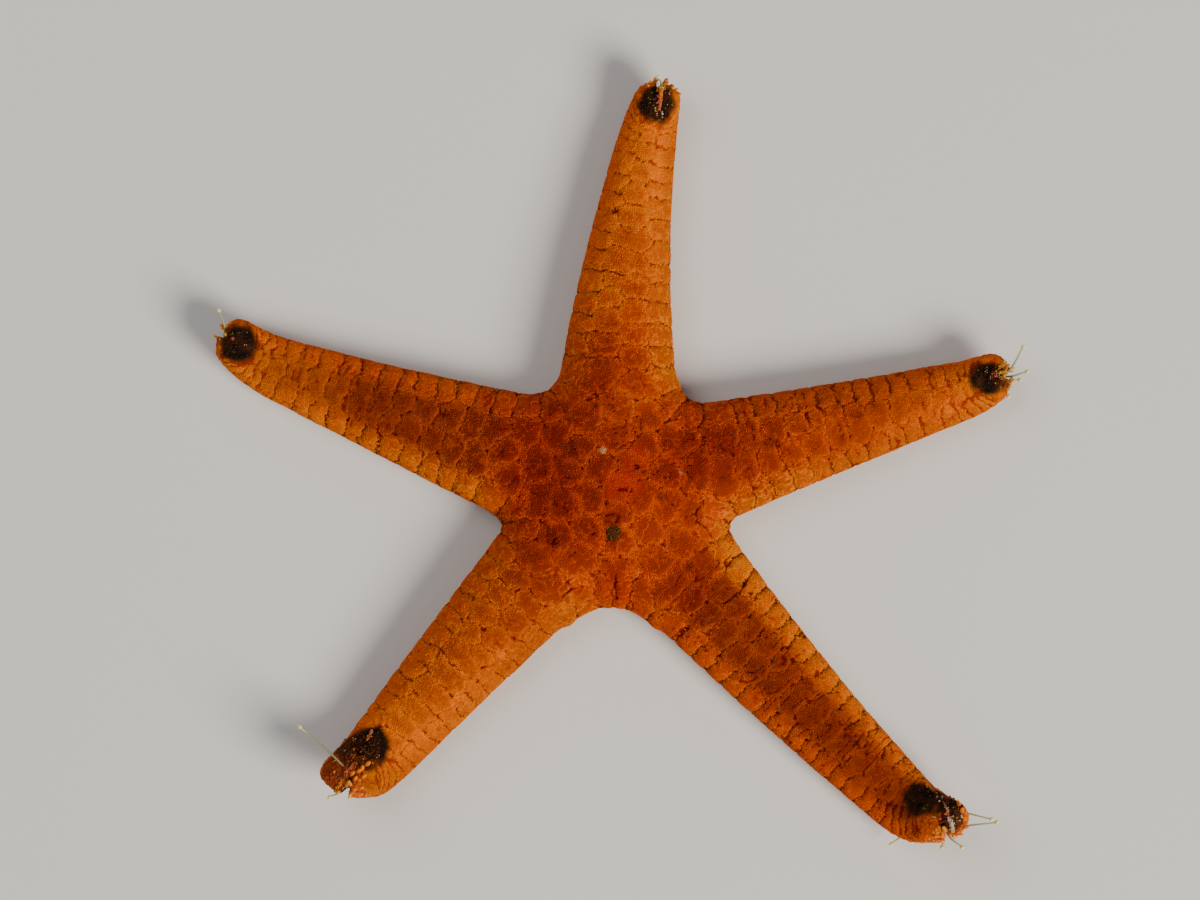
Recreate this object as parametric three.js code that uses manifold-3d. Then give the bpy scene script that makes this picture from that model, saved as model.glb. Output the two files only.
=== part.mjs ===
import * as THREE from 'three';
import { mergeVertices } from 'three/addons/utils/BufferGeometryUtils.js';
import Module from 'manifold-3d';

const { degToRad, lerp, smoothstep, clamp } = THREE.MathUtils;
const wasm = await Module();
wasm.setup();

// A five-armed sea star that lies on its underside with its arm ends curled up.
// Millimetres, +Z up, the floor at z = 0. Arms a to e follow each other anticlockwise from above.

// Where the arms meet, seen from the middle of the whole outline.
const discCentre = new THREE.Vector2(-0.57, -2.56);

// Each arm follows its underside line: the heading where it leaves the disc, how far it sweeps
// round on the way, how far its end hooks, the length of the line, the half width where the line
// starts and at the end, how far the end curls up and over what length, and how far its back leans
// to the left there.
const arms = {
  a: {
    heading: 91.5, sweep: -16.5, hook: 0, length: 42.2,
    root: 7.2, tip: 2.25, curl: 86, curlRun: 9.5, lean: -6,
  },
  b: {
    heading: 162, sweep: -4, hook: -21, length: 43.7,
    root: 7.6, tip: 2.35, curl: 82, curlRun: 9.5, lean: -12,
  },
  c: {
    heading: 226.7, sweep: 3.7, hook: 0.5, length: 45,
    root: 6.5, tip: 2.95, curl: 122, curlRun: 14, lean: -23,
  },
  d: {
    heading: 308.8, sweep: 9.5, hook: 12, length: 51.8,
    root: 6.7, tip: 2.7, curl: 118, curlRun: 14, lean: 42,
  },
  e: {
    heading: 15.6, sweep: 0.7, hook: 2, length: 42,
    root: 7.2, tip: 2.4, curl: 84, curlRun: 9.5, lean: 12,
  },
};
const rootHeight = 7; // thickness of an arm's line at the disc's centre
const tipHeight = 4.2; // thickness at the end
const taperPower = 1.25; // above 1 an arm narrows fastest near the disc
const hookRun = 12; // length of the end that hooks
const curlPower = 1.4; // above 1 the curl starts gently
const leanRun = 0.8; // share of the curl over which the back leans
const roundRun = 2.5; // length of the end whose underside is fully round
const capRun = 2.3; // length over which the end rounds off
const capLeast = 0.3; // share of the section left at the very end
const armRings = 13;
const ringCrowding = 1.5; // above 1 the rings stand closer near the end
const pathStep = 0.1;

// The section of an arm, and the profile of the disc: flat below, round at the margin, domed above.
const flatShare = 0.8; // half width of the flat underside, as a share of the half width
const marginShare = 0.42; // height of the widest place, as a share of the height
const keelShare = 0.95; // where the underside's edge starts to turn up
const flankShare = 0.43; // how low the margin stays upright, as a share of the margin's height
const shoulderShare = 0.78; // how high the margin stays upright
const crownShare = 0.52; // half width of the nearly level crown
const sectionSegments = 4;

// Notches between neighbouring arms: direction, distance and roundness. Arm a lies after the first.
const notches = [
  { heading: 51.9, reach: 11.2, radius: 2 },
  { heading: 124.3, reach: 11.6, radius: 1 },
  { heading: 197.1, reach: 11.6, radius: 1.2 },
  { heading: 268.1, reach: 11.5, radius: 5 },
  { heading: 343.2, reach: 11.5, radius: 1.2 },
];
const webHalfWidth = 5; // flesh behind a notch, swept round it
const webHeight = 5.6;
const webSpread = 54; // degrees round the notch, each way
const webRings = 4;

const discHeight = 7.4;
const discRadius = 11;
const discSides = 20;
const discCorner = 12.2; // the disc ends on straight cuts between corners in the notches

// Cuts across each arm, as distances from the disc's centre or back from the arm's end.
const middleStart = 20;
const tipRun = 2; // past the curl's start
const plateRun = 1.9;
const plateReach = 10; // wide enough for an arm's end, and clear of its back
const gap = 0.3;

// The furrow along the underside of each arm.
const furrowHalfWidth = { root: 0.9, tip: 0.35 };
const furrowDepth = { root: 1.3, tip: 1.7 };
const furrowRings = 9;
const furrowSegments = 2;
const furrowOvershoot = 1.5;
const furrowWall = 0.3; // height of the furrow's upright sides, as a share of its depth
const furrowShoulder = 0.9; // how wide its arch starts, as a share of the half width

const mouth = { radius: 2.1, height: 0.8, lift: 0.5, sides: 12, lip: 1.7, lipHeight: 0.32 };
const mouthPit = { radius: 0.9, roof: 0.63, rim: 0.1, height: 0.48 };
const madreporite = { x: -0.3, y: -4.1, radius: 0.8, height: 0.75, sides: 10, sunk: 0.5 };
const madreporiteEdge = 0.34; // height of its upright edge, below its crown
const eye = { radius: 0.35, sides: 8, rings: 5 };

// Tube feet and tentacles that reach out past the arm ends. Each is rooted inside its arm, so far
// back from the end and so high above the underside line, and points and rises by its angles.
const feelers = [
  { arm: 'a', back: 1.2, height: 1, bearing: 92, rise: 62, length: 2.2 },
  { arm: 'b', back: 1.2, height: 1, bearing: 101, rise: 25, length: 2.8 },
  { arm: 'c', back: 1, height: 2.1, bearing: 136, rise: 5, length: 6.8 },
  { arm: 'c', back: 3, height: 1, bearing: 215, rise: -10, length: 2.2 },
  { arm: 'd', back: 2, height: 1, bearing: 11, rise: -4, length: 5.1 },
  { arm: 'd', back: 2, height: 3.2, bearing: -9, rise: 6, length: 5.4 },
  { arm: 'd', back: 4, height: 1, bearing: 270, rise: -10, length: 1.9 },
  { arm: 'd', back: 2.5, height: 1, bearing: 312, rise: -5, length: 2.4 },
  { arm: 'd', back: 8.5, height: 0.7, bearing: 222, rise: -2, length: 4.1 },
  { arm: 'e', back: 1.2, height: 1, bearing: 55, rise: 12, length: 3.5 },
  { arm: 'e', back: 2, height: 1, bearing: 8, rise: 10, length: 2.7 },
  { arm: 'e', back: 2.5, height: 0.8, bearing: -12, rise: -25, length: 2.2 },
  { arm: 'e', back: 3, height: 0.8, bearing: -58, rise: -10, length: 2.2 },
];
const feelerRadius = 0.25;
const knob = { radius: 0.33, length: 0.6, widestFrom: 0.21, widestTo: 0.42 };
const feelerSides = 6;

const materials = {
  flesh: new THREE.MeshStandardMaterial({ color: 0xe8760f, roughness: 0.75, metalness: 0 }),
  disc: new THREE.MeshStandardMaterial({ color: 0xb4450f, roughness: 0.8, metalness: 0 }),
  plate: new THREE.MeshStandardMaterial({ color: 0x1c130d, roughness: 0.55, metalness: 0 }),
  sieve: new THREE.MeshStandardMaterial({ color: 0x4a2413, roughness: 0.85, metalness: 0 }),
  lips: new THREE.MeshStandardMaterial({ color: 0xd9a066, roughness: 0.6, metalness: 0 }),
  eye: new THREE.MeshStandardMaterial({ color: 0xc2271d, roughness: 0.3, metalness: 0 }),
  feeler: new THREE.MeshStandardMaterial({ color: 0xb9c79a, roughness: 0.35, metalness: 0 }),
};

// A closed mesh as a solid: the vertices that touch are merged and empty triangles dropped.
function toSolid(geometry) {
  geometry.deleteAttribute('normal');
  geometry.deleteAttribute('uv');
  const merged = mergeVertices(geometry);
  const corners = merged.index.array;
  const triVerts = [];
  for (let i = 0; i < corners.length; i += 3) {
    const [p, q, r] = corners.subarray(i, i + 3);
    if (p !== q && q !== r && r !== p) {
      triVerts.push(p, q, r);
    }
  }
  const vertProperties = merged.attributes.position.array;
  const mesh = new wasm.Mesh({ numProp: 3, vertProperties, triVerts: new Uint32Array(triVerts) });
  return new wasm.Manifold(mesh);
}

function toGeometry(solid) {
  const { vertProperties, triVerts } = solid.getMesh();
  const geometry = new THREE.BufferGeometry();
  geometry.setAttribute('position', new THREE.BufferAttribute(vertProperties, 3));
  geometry.setIndex(new THREE.BufferAttribute(triVerts, 1));
  geometry.computeVertexNormals();
  return geometry;
}

function namedMesh(name, geometry, material) {
  const mesh = new THREE.Mesh(geometry, material);
  mesh.name = name;
  return mesh;
}

// Half of a section, from the middle of its flat underside round the margin to its crown.
function traceSection(path, halfWidth, height) {
  const margin = height * marginShare;
  path.moveTo(0, 0);
  path.lineTo(halfWidth * flatShare, 0);
  path.bezierCurveTo(halfWidth * keelShare, 0, halfWidth, margin * flankShare, halfWidth, margin);
  path.bezierCurveTo(halfWidth, height * shoulderShare, halfWidth * crownShare, height, 0, height);
  return path;
}

// The whole section, one unit high and one unit to each side.
function sectionShape() {
  const half = traceSection(new THREE.Path(), 1, 1).getPoints(sectionSegments);
  const mirrored = half.slice(1, -1).reverse().map((point) => new THREE.Vector2(-point.x, point.y));
  return new THREE.Shape([...half, ...mirrored]);
}

// A furrow's section reaches below the underside, so that it cuts clean through it.
function furrowShape() {
  const shape = new THREE.Shape();
  shape.moveTo(-1, -1);
  shape.lineTo(1, -1);
  shape.lineTo(1, furrowWall);
  shape.quadraticCurveTo(furrowShoulder, 1, 0, 1);
  shape.quadraticCurveTo(-furrowShoulder, 1, -1, furrowWall);
  return shape;
}

// Where a point of the flat underside lies once the section is round below.
function roundedHeight(point) {
  const bulge = marginShare * (1 - Math.sqrt(1 - Math.min(1, point.x * point.x)));
  return point.y < marginShare ? bulge : point.y;
}

// One section after another along a line. Each ring scales the shape and places it by its frame,
// whose X points left, Y up and Z ahead.
function sweep(shape, rings, curveSegments) {
  const steps = rings.length - 1;
  const settings = { depth: 1, steps, bevelEnabled: false, curveSegments };
  const geometry = new THREE.ExtrudeGeometry(shape, settings);
  const positions = geometry.attributes.position;
  const point = new THREE.Vector3();
  for (let i = 0; i < positions.count; i++) {
    point.fromBufferAttribute(positions, i);
    const ring = rings[Math.round(point.z * steps)];
    const y = lerp(point.y, roundedHeight(point), ring.roundness ?? 0);
    point.set(point.x * ring.halfWidth, y * ring.height + ring.rise, 0);
    point.applyMatrix4(ring.frame);
    positions.setXYZ(i, point.x, point.y, point.z);
  }
  return toSolid(geometry);
}

function curlAt(arm, station) {
  const share = clamp((station - arm.length + arm.curlRun) / arm.curlRun, 0, 1);
  return degToRad(arm.curl) * share ** curlPower;
}

function headingAt(arm, station) {
  const hook = arm.hook * smoothstep(station, arm.length - hookRun, arm.length);
  return degToRad(arm.heading + arm.sweep * station / arm.length + hook);
}

function directionAt(arm, station) {
  const heading = headingAt(arm, station);
  const curl = curlAt(arm, station);
  const flat = Math.cos(curl);
  return new THREE.Vector3(flat * Math.cos(heading), flat * Math.sin(heading), Math.sin(curl));
}

// The frame on an arm's underside line at a distance from the disc's centre.
function armFrame(arm, station) {
  const steps = Math.max(1, Math.ceil(station / pathStep));
  const step = station / steps;
  const origin = new THREE.Vector3();
  for (let i = 0; i < steps; i++) {
    origin.addScaledVector(directionAt(arm, (i + 0.5) * step), step);
  }
  const heading = headingAt(arm, station);
  const ahead = directionAt(arm, station);
  const left = new THREE.Vector3(-Math.sin(heading), Math.cos(heading), 0);
  const up = new THREE.Vector3().crossVectors(ahead, left);
  const lean = degToRad(arm.lean) * smoothstep(station, arm.length - leanRun * arm.curlRun, arm.length);
  const frame = new THREE.Matrix4().makeBasis(left, up, ahead).setPosition(origin);
  return frame.multiply(new THREE.Matrix4().makeRotationZ(-lean));
}

// An arm's ring, grown outwards by the given amount.
function armRing(arm, station, growth) {
  const share = Math.max(0, 1 - station / arm.length);
  const rounding = clamp(1 - (arm.length - station) / capRun, 0, 1);
  const cap = Math.max(capLeast, Math.sqrt(1 - rounding * rounding));
  const height = lerp(rootHeight, tipHeight, station / arm.length);
  return {
    frame: armFrame(arm, station + growth * station / arm.length),
    halfWidth: lerp(arm.tip, arm.root, share ** taperPower) * cap + growth,
    height: height * cap + 2 * growth,
    rise: height * (1 - cap) / 2 - growth,
    roundness: smoothstep(station, arm.length - arm.curlRun, arm.length - roundRun),
  };
}

function armSolid(arm, growth = 0) {
  const rings = [];
  for (let i = 0; i <= armRings; i++) {
    const station = arm.length * (1 - (1 - i / armRings) ** ringCrowding);
    rings.push(armRing(arm, station, growth));
  }
  return sweep(sectionShape(), rings, sectionSegments);
}

function furrowSolid(arm) {
  const rings = [];
  for (let i = 0; i <= furrowRings; i++) {
    const share = 1 - (1 - i / furrowRings) ** ringCrowding;
    rings.push({
      frame: armFrame(arm, share * (arm.length + furrowOvershoot)),
      halfWidth: lerp(furrowHalfWidth.root, furrowHalfWidth.tip, share),
      height: lerp(furrowDepth.root, furrowDepth.tip, share * share),
      rise: 0,
    });
  }
  return sweep(furrowShape(), rings, furrowSegments);
}

// The flesh behind a notch runs round it on an arc, from the one arm into the other.
function webSolid(notch) {
  const inward = degToRad(notch.heading + 180);
  const upright = new THREE.Vector3(0, 0, 1);
  const pivot = notch.reach + notch.radius;
  const arc = notch.radius + webHalfWidth;
  const rings = [];
  for (let i = 0; i <= webRings; i++) {
    const bearing = inward + degToRad(lerp(-webSpread, webSpread, i / webRings));
    const x = arc * Math.cos(bearing) - pivot * Math.cos(inward);
    const y = arc * Math.sin(bearing) - pivot * Math.sin(inward);
    const left = new THREE.Vector3(-Math.cos(bearing), -Math.sin(bearing), 0);
    const ahead = new THREE.Vector3(-Math.sin(bearing), Math.cos(bearing), 0);
    const frame = new THREE.Matrix4().makeBasis(left, upright, ahead).setPosition(x, y, 0);
    rings.push({ frame, halfWidth: webHalfWidth, height: webHeight, rise: 0 });
  }
  return sweep(sectionShape(), rings, sectionSegments);
}

function domeSolid() {
  const profile = traceSection(new THREE.Path(), discRadius, discHeight).getPoints(sectionSegments);
  const geometry = new THREE.LatheGeometry(profile, discSides);
  geometry.rotateX(Math.PI / 2);
  return toSolid(geometry);
}

// An upright prism with its corners in the given directions.
function prismSolid(corners) {
  const tall = 4 * discHeight;
  const shape = new THREE.Shape(corners);
  const geometry = new THREE.ExtrudeGeometry(shape, { depth: tall, bevelEnabled: false });
  geometry.translate(0, 0, -tall / 2);
  return toSolid(geometry);
}

function polar(distance, degrees) {
  const angle = degToRad(degrees);
  return new THREE.Vector2(distance * Math.cos(angle), distance * Math.sin(angle));
}

function discPrism(growth) {
  return prismSolid(notches.map((notch) => polar(discCorner + growth, notch.heading)));
}

function sectorPrism(index) {
  const far = 4 * arms.d.length;
  const next = notches[(index + 1) % notches.length];
  return prismSolid([new THREE.Vector2(), polar(far, notches[index].heading), polar(far, next.heading)]);
}

// A block ahead of a cut across an arm, as wide, high and long as the given reach.
function aheadSolid(arm, station, reach) {
  const geometry = new THREE.BoxGeometry(reach, reach, reach);
  geometry.translate(0, 0, reach / 2);
  geometry.applyMatrix4(armFrame(arm, station));
  return toSolid(geometry);
}

function cutAt(solid, arm, station, reach) {
  const near = solid.subtract(aheadSolid(arm, station - gap / 2, reach));
  const far = solid.intersect(aheadSolid(arm, station + gap / 2, reach));
  return [near, far];
}

function uprightCylinder(radius, bottom, top, sides) {
  const geometry = new THREE.CylinderGeometry(radius, radius, top - bottom, sides);
  geometry.rotateX(Math.PI / 2);
  geometry.translate(0, 0, (top + bottom) / 2);
  return geometry;
}

// The middle of an arm's end face, where the eyespot sits.
function endFrame(arm) {
  return armFrame(arm, arm.length).multiply(new THREE.Matrix4().makeTranslation(0, tipHeight / 2, 0));
}

function eyeSocket(arm) {
  const radius = eye.radius + gap;
  return toSolid(uprightCylinder(radius, -radius, radius, eye.sides).applyMatrix4(endFrame(arm)));
}

function eyeMesh(name, arm) {
  const geometry = new THREE.SphereGeometry(eye.radius, eye.sides, eye.rings);
  const mesh = namedMesh(`eye_${name}`, geometry, materials.eye);
  mesh.position.setFromMatrixPosition(endFrame(arm));
  return mesh;
}

// An arm in its lengths, with the dark plate at its end and the eyespot in the plate.
function armGroup(name, body, index) {
  const arm = arms[name];
  const whole = body.subtract(discPrism(gap)).intersect(sectorPrism(index));
  const wide = 2 * arm.length;
  const tipStart = arm.length - arm.curlRun - tipRun;
  const [base, beyondBase] = cutAt(whole, arm, middleStart, wide);
  const [middle, beyondMiddle] = cutAt(beyondBase, arm, tipStart, wide);
  const [tip, plate] = cutAt(beyondMiddle, arm, arm.length - plateRun, plateReach);
  const group = new THREE.Group();
  group.add(namedMesh(`arm_${name}_base`, toGeometry(base), materials.flesh));
  group.add(namedMesh(`arm_${name}_middle`, toGeometry(middle), materials.flesh));
  group.add(namedMesh(`arm_${name}_tip`, toGeometry(tip), materials.flesh));
  group.add(namedMesh(`tip_plate_${name}`, toGeometry(plate.subtract(eyeSocket(arm))), materials.plate));
  group.add(eyeMesh(name, arm));
  return group;
}

function discMesh(body) {
  const ceiling = mouth.lift + mouth.height + gap;
  const mouthRecess = uprightCylinder(mouth.radius + gap, -ceiling, ceiling, mouth.sides);
  const seat = discHeight - madreporite.sunk - gap;
  const { radius, sides } = madreporite;
  const sieveRecess = uprightCylinder(radius + gap, seat, seat + discHeight, sides);
  sieveRecess.translate(madreporite.x, madreporite.y, 0);
  const disc = body.intersect(discPrism(0)).subtract(toSolid(mouthRecess));
  return namedMesh('disc', toGeometry(disc.subtract(toSolid(sieveRecess))), materials.disc);
}

// A ring of lips round a pit that narrows upwards.
function mouthMesh() {
  const { radius, height, sides, lip, lipHeight } = mouth;
  const profile = [
    new THREE.Vector2(0, mouthPit.height),
    new THREE.Vector2(mouthPit.roof, mouthPit.height),
    new THREE.Vector2(mouthPit.radius, mouthPit.rim),
    new THREE.Vector2(lip, 0),
    new THREE.Vector2(radius, lipHeight),
    new THREE.Vector2(radius, height),
    new THREE.Vector2(0, height),
  ];
  const geometry = new THREE.LatheGeometry(profile, sides);
  geometry.rotateX(Math.PI / 2);
  const mesh = namedMesh('mouth', geometry, materials.lips);
  mesh.position.z = mouth.lift;
  return mesh;
}

function madreporiteMesh() {
  const { radius, height, sides } = madreporite;
  const profile = new THREE.Path();
  profile.moveTo(0, 0);
  profile.lineTo(radius, 0);
  profile.lineTo(radius, madreporiteEdge);
  profile.quadraticCurveTo(radius * shoulderShare, height, 0, height);
  const geometry = new THREE.LatheGeometry(profile.getPoints(sectionSegments), sides);
  geometry.rotateX(Math.PI / 2);
  const mesh = namedMesh('madreporite', geometry, materials.sieve);
  mesh.position.set(madreporite.x, madreporite.y, discHeight - madreporite.sunk);
  return mesh;
}

// A rod with a knob at its end, clipped where it comes out of the arm.
function feelerMesh(feeler, name) {
  const arm = arms[feeler.arm];
  const neck = feeler.length - knob.length;
  const profile = [
    new THREE.Vector2(0, 0),
    new THREE.Vector2(feelerRadius, 0),
    new THREE.Vector2(feelerRadius, neck),
    new THREE.Vector2(knob.radius, neck + knob.widestFrom),
    new THREE.Vector2(knob.radius, neck + knob.widestTo),
    new THREE.Vector2(0, feeler.length),
  ];
  const pointing = polar(Math.cos(degToRad(feeler.rise)), feeler.bearing);
  const direction = new THREE.Vector3(pointing.x, pointing.y, Math.sin(degToRad(feeler.rise)));
  const turn = new THREE.Quaternion().setFromUnitVectors(new THREE.Vector3(0, 1, 0), direction);
  const root = new THREE.Vector3(0, feeler.height, 0);
  root.applyMatrix4(armFrame(arm, arm.length - feeler.back));
  const geometry = new THREE.LatheGeometry(profile, feelerSides);
  geometry.applyQuaternion(turn);
  geometry.translate(root.x, root.y, root.z);
  const clipped = toSolid(geometry).subtract(armSolid(arm, gap));
  return namedMesh(name, toGeometry(clipped), materials.feeler);
}

function feelerGroup() {
  const group = new THREE.Group();
  const counts = {};
  for (const feeler of feelers) {
    counts[feeler.arm] = (counts[feeler.arm] ?? 0) + 1;
    group.add(feelerMesh(feeler, `feeler_${feeler.arm}_${counts[feeler.arm]}`));
  }
  return group;
}

function bodySolid() {
  let body = domeSolid();
  for (const arm of Object.values(arms)) {
    body = body.add(armSolid(arm));
  }
  for (const notch of notches) {
    body = body.add(webSolid(notch));
  }
  for (const arm of Object.values(arms)) {
    body = body.subtract(furrowSolid(arm));
  }
  return body;
}

const group = new THREE.Group();
group.position.set(discCentre.x, discCentre.y, 0);
const body = bodySolid();
group.add(discMesh(body));
group.add(mouthMesh());
group.add(madreporiteMesh());
Object.keys(arms).forEach((name, index) => group.add(armGroup(name, body, index)));
group.add(feelerGroup());

export default group;
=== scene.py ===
import math

import bpy
import numpy as np
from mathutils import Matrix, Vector


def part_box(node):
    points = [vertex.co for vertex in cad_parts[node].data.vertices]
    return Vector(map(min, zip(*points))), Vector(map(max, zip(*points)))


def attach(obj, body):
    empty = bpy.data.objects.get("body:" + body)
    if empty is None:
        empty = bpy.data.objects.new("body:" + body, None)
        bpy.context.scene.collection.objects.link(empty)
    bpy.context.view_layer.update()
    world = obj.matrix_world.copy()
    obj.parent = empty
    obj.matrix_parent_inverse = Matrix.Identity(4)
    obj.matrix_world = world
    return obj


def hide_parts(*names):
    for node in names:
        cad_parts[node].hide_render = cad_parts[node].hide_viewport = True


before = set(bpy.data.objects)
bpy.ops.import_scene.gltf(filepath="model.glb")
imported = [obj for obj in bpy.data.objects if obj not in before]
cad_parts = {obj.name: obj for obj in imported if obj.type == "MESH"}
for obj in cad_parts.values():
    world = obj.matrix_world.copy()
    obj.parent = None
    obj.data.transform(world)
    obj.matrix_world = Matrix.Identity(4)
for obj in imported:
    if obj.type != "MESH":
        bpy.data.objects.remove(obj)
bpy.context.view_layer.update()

# Shapes are worked out in millimetres about the middle of the disc, and become metres in makeObject.
mm = 0.001
discCentre = np.array([-0.57, -2.56, 0.0])
random = np.random.default_rng(7)

# Each arm: heading at the disc, how far it sweeps and hooks, length, half widths, the curl of its end
# and how far its back leans there.
arms = {
    "a": dict(heading=91.5, sweep=-16.5, hook=0, length=42.2, root=7.2, tip=2.25,
              curl=86, curlRun=9.5, lean=-6),
    "b": dict(heading=162, sweep=-4, hook=-21, length=43.7, root=7.6, tip=2.35,
              curl=82, curlRun=9.5, lean=-12),
    "c": dict(heading=226.7, sweep=3.7, hook=0.5, length=45, root=6.5, tip=2.95,
              curl=122, curlRun=14, lean=-23),
    "d": dict(heading=308.8, sweep=9.5, hook=12, length=51.8, root=6.7, tip=2.7,
              curl=118, curlRun=14, lean=42),
    "e": dict(heading=15.6, sweep=0.7, hook=2, length=42, root=7.2, tip=2.4,
              curl=84, curlRun=9.5, lean=12),
}
armNames = list(arms)

body = {
    "rootHeight": 7.0,
    "tipHeight": 4.2,
    "taperPower": 1.25,
    "hookRun": 12.0,
    "curlPower": 1.4,
    "leanRun": 0.8,
    "roundRun": 2.5,
    "capRun": 2.3,
    "capLeast": 0.3,
    "discHeight": 7.4,
    "discRadius": 11.0,
    "webHalfWidth": 5.0,
    "webHeight": 5.6,
    "webSpread": 54.0,
    "voxel": 0.17,
    "coatDepth": 0.12,
}
# The arm's section, as shares of its half width and height: a flat sole, a flank and a round back.
section = {
    "sole": 0.8,
    "flank": ((0.8, 0), (0.95, 0), (1, 0.18), (1, 0.42)),
    "back": ((1, 0.42), (1, 0.78), (0.52, 1), (0, 1)),
    "waist": 0.42,
    "usualSize": np.array([5, 6]),
}
notches = [
    dict(heading=51.9, reach=11.2, radius=2.0),
    dict(heading=124.3, reach=11.6, radius=1.0),
    dict(heading=197.1, reach=11.6, radius=1.2),
    dict(heading=268.1, reach=11.5, radius=5.0),
    dict(heading=343.2, reach=11.5, radius=1.2),
]
furrow = {"halfWidth": (0.9, 0.35), "depth": (1.3, 1.7), "mouthRadius": 2.2, "mouthDepth": 1.7}


def smoothStep(value, low, high):
    share = np.clip((value - low) / (high - low), 0, 1)
    return share * share * (3 - 2 * share)


def mix(first, second, share):
    return first + (second - first) * share


def unit(vectors):
    return vectors / np.maximum(np.linalg.norm(vectors, axis=-1, keepdims=True), 1e-9)


def planar(degrees):
    angle = np.radians(degrees)
    return np.array([math.cos(angle), math.sin(angle), 0.0])


def circle(count):
    return np.linspace(0, 2 * math.pi, count, endpoint=False)


# A level ring, with one height for all its points or one for each.
def ringAt(turn, wide, deep, height):
    return np.stack([wide * np.cos(turn), deep * np.sin(turn), np.broadcast_to(height, len(turn))], 1)


# Smooth value noise from -1 to 1.
def noise(points, scale, seed=0):
    spot = points / scale + seed * 7.31
    cell = np.floor(spot).astype(np.int64)
    part = spot - cell
    part = part * part * (3 - 2 * part)
    total = np.zeros(len(points))
    for corner in range(8):
        step = np.array([corner & 1, corner >> 1 & 1, corner >> 2 & 1])
        key = (cell + step + 512) * np.array([73856093, 19349663, 83492791])
        mixed = (key[:, 0] ^ key[:, 1] ^ key[:, 2]) * 2654435761 % 4294967296
        mixed = (mixed ^ mixed >> 15) * 2246822519 % 4294967296
        weight = np.prod(np.where(step, part, 1 - part), axis=1)
        total += weight * mixed / 4294967295
    return total * 2 - 1


def makeObject(name, points, faces, smooth=True):
    mesh = bpy.data.meshes.new(name)
    faces = [np.asarray(group) for group in faces if len(group)]
    mesh.vertices.add(len(points))
    mesh.vertices.foreach_set("co", (np.asarray(points) * mm).astype(np.float32).ravel())
    corners = np.concatenate([group.ravel() for group in faces])
    sizes = np.concatenate([np.full(len(group), group.shape[1]) for group in faces])
    mesh.loops.add(len(corners))
    mesh.loops.foreach_set("vertex_index", corners.astype(np.int32))
    mesh.polygons.add(len(sizes))
    mesh.polygons.foreach_set("loop_start", (np.cumsum(sizes) - sizes).astype(np.int32))
    mesh.update(calc_edges=True)
    mesh.validate()
    if smooth:
        mesh.shade_smooth()
    else:
        mesh.shade_flat()
    thing = bpy.data.objects.new(name, mesh)
    bpy.context.scene.collection.objects.link(thing)
    return thing


def paint(thing, colours):
    layer = thing.data.color_attributes.new("marking", "FLOAT_COLOR", "POINT")
    layer.data.foreach_set("color", np.c_[colours, np.ones(len(colours))].astype(np.float32).ravel())


def readMesh(mesh):
    points = np.zeros(len(mesh.vertices) * 3, np.float32)
    mesh.vertices.foreach_get("co", points)
    return points.reshape(-1, 3).astype(float)


def normalsOf(points, quads):
    across = points[quads[:, 2]] - points[quads[:, 0]]
    along = points[quads[:, 3]] - points[quads[:, 1]]
    facing = np.cross(across, along)
    total = np.zeros_like(points)
    for axis in range(3):
        total[:, axis] = np.bincount(quads.ravel(), np.repeat(facing[:, axis], 4), len(points))
    return unit(total)


# The middle line of an arm's sole, with its directions at each station.
def armPath(arm):
    length = arm["length"]
    station = np.linspace(0, length, int(length / 0.1) + 1)
    hook = arm["hook"] * smoothStep(station, length - body["hookRun"], length)
    heading = np.radians(arm["heading"] + arm["sweep"] * station / length + hook)
    curlShare = np.clip((station - length + arm["curlRun"]) / arm["curlRun"], 0, 1)
    curl = np.radians(arm["curl"]) * curlShare ** body["curlPower"]
    flat = np.stack([np.cos(heading), np.sin(heading), 0 * heading], 1)
    ahead = np.cos(curl)[:, None] * flat + np.sin(curl)[:, None] * np.array([0, 0, 1.0])
    left = np.stack([-np.sin(heading), np.cos(heading), 0 * heading], 1)
    up = np.cross(ahead, left)
    leanStart = length - body["leanRun"] * arm["curlRun"]
    lean = np.radians(arm["lean"]) * smoothStep(station, leanStart, length)
    cos, sin = np.cos(lean)[:, None], np.sin(lean)[:, None]
    left, up = left * cos - up * sin, left * sin + up * cos
    steps = (ahead[1:] + ahead[:-1]) / 2 * (station[1] - station[0])
    origin = np.vstack([np.zeros(3), np.cumsum(steps, 0)])
    return dict(arm=arm, station=station, origin=origin, ahead=ahead, left=left, up=up)


def framesAt(path, station):
    found = {}
    for key in ("origin", "ahead", "left", "up"):
        found[key] = np.stack([np.interp(station, path["station"], path[key][:, i]) for i in range(3)], -1)
    return found


def placeOn(at, left, up=0):
    return at["origin"] + at["left"] * left + at["up"] * up


def fullHalfWidth(arm, station):
    share = np.maximum(0, 1 - station / arm["length"])
    return mix(arm["tip"], arm["root"], share ** body["taperPower"])


def fullHeight(arm, station):
    return mix(body["rootHeight"], body["tipHeight"], station / arm["length"])


# Half width and depth of the furrow at a share of the arm's length.
def furrowAt(share):
    return mix(*furrow["halfWidth"], share), mix(*furrow["depth"], share ** 2)


def bezier(first, second, third, last, count):
    t = np.linspace(0, 1, count)[:, None]
    first, second, third, last = (np.array(p, float) for p in (first, second, third, last))
    return (1 - t) ** 3 * first + 3 * (1 - t) ** 2 * t * second + 3 * (1 - t) * t * t * third + t ** 3 * last


def halfSection(count=24):
    sole = np.stack([np.linspace(0, section["sole"], count // 2), np.zeros(count // 2)], 1)
    flank = bezier(*section["flank"], count // 2)
    back = bezier(*section["back"], count)
    return np.vstack([sole, flank[1:], back[1:]])


def fullSection():
    half = halfSection()
    return np.vstack([half, half[1:-1][::-1] * [-1, 1]])


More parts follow.
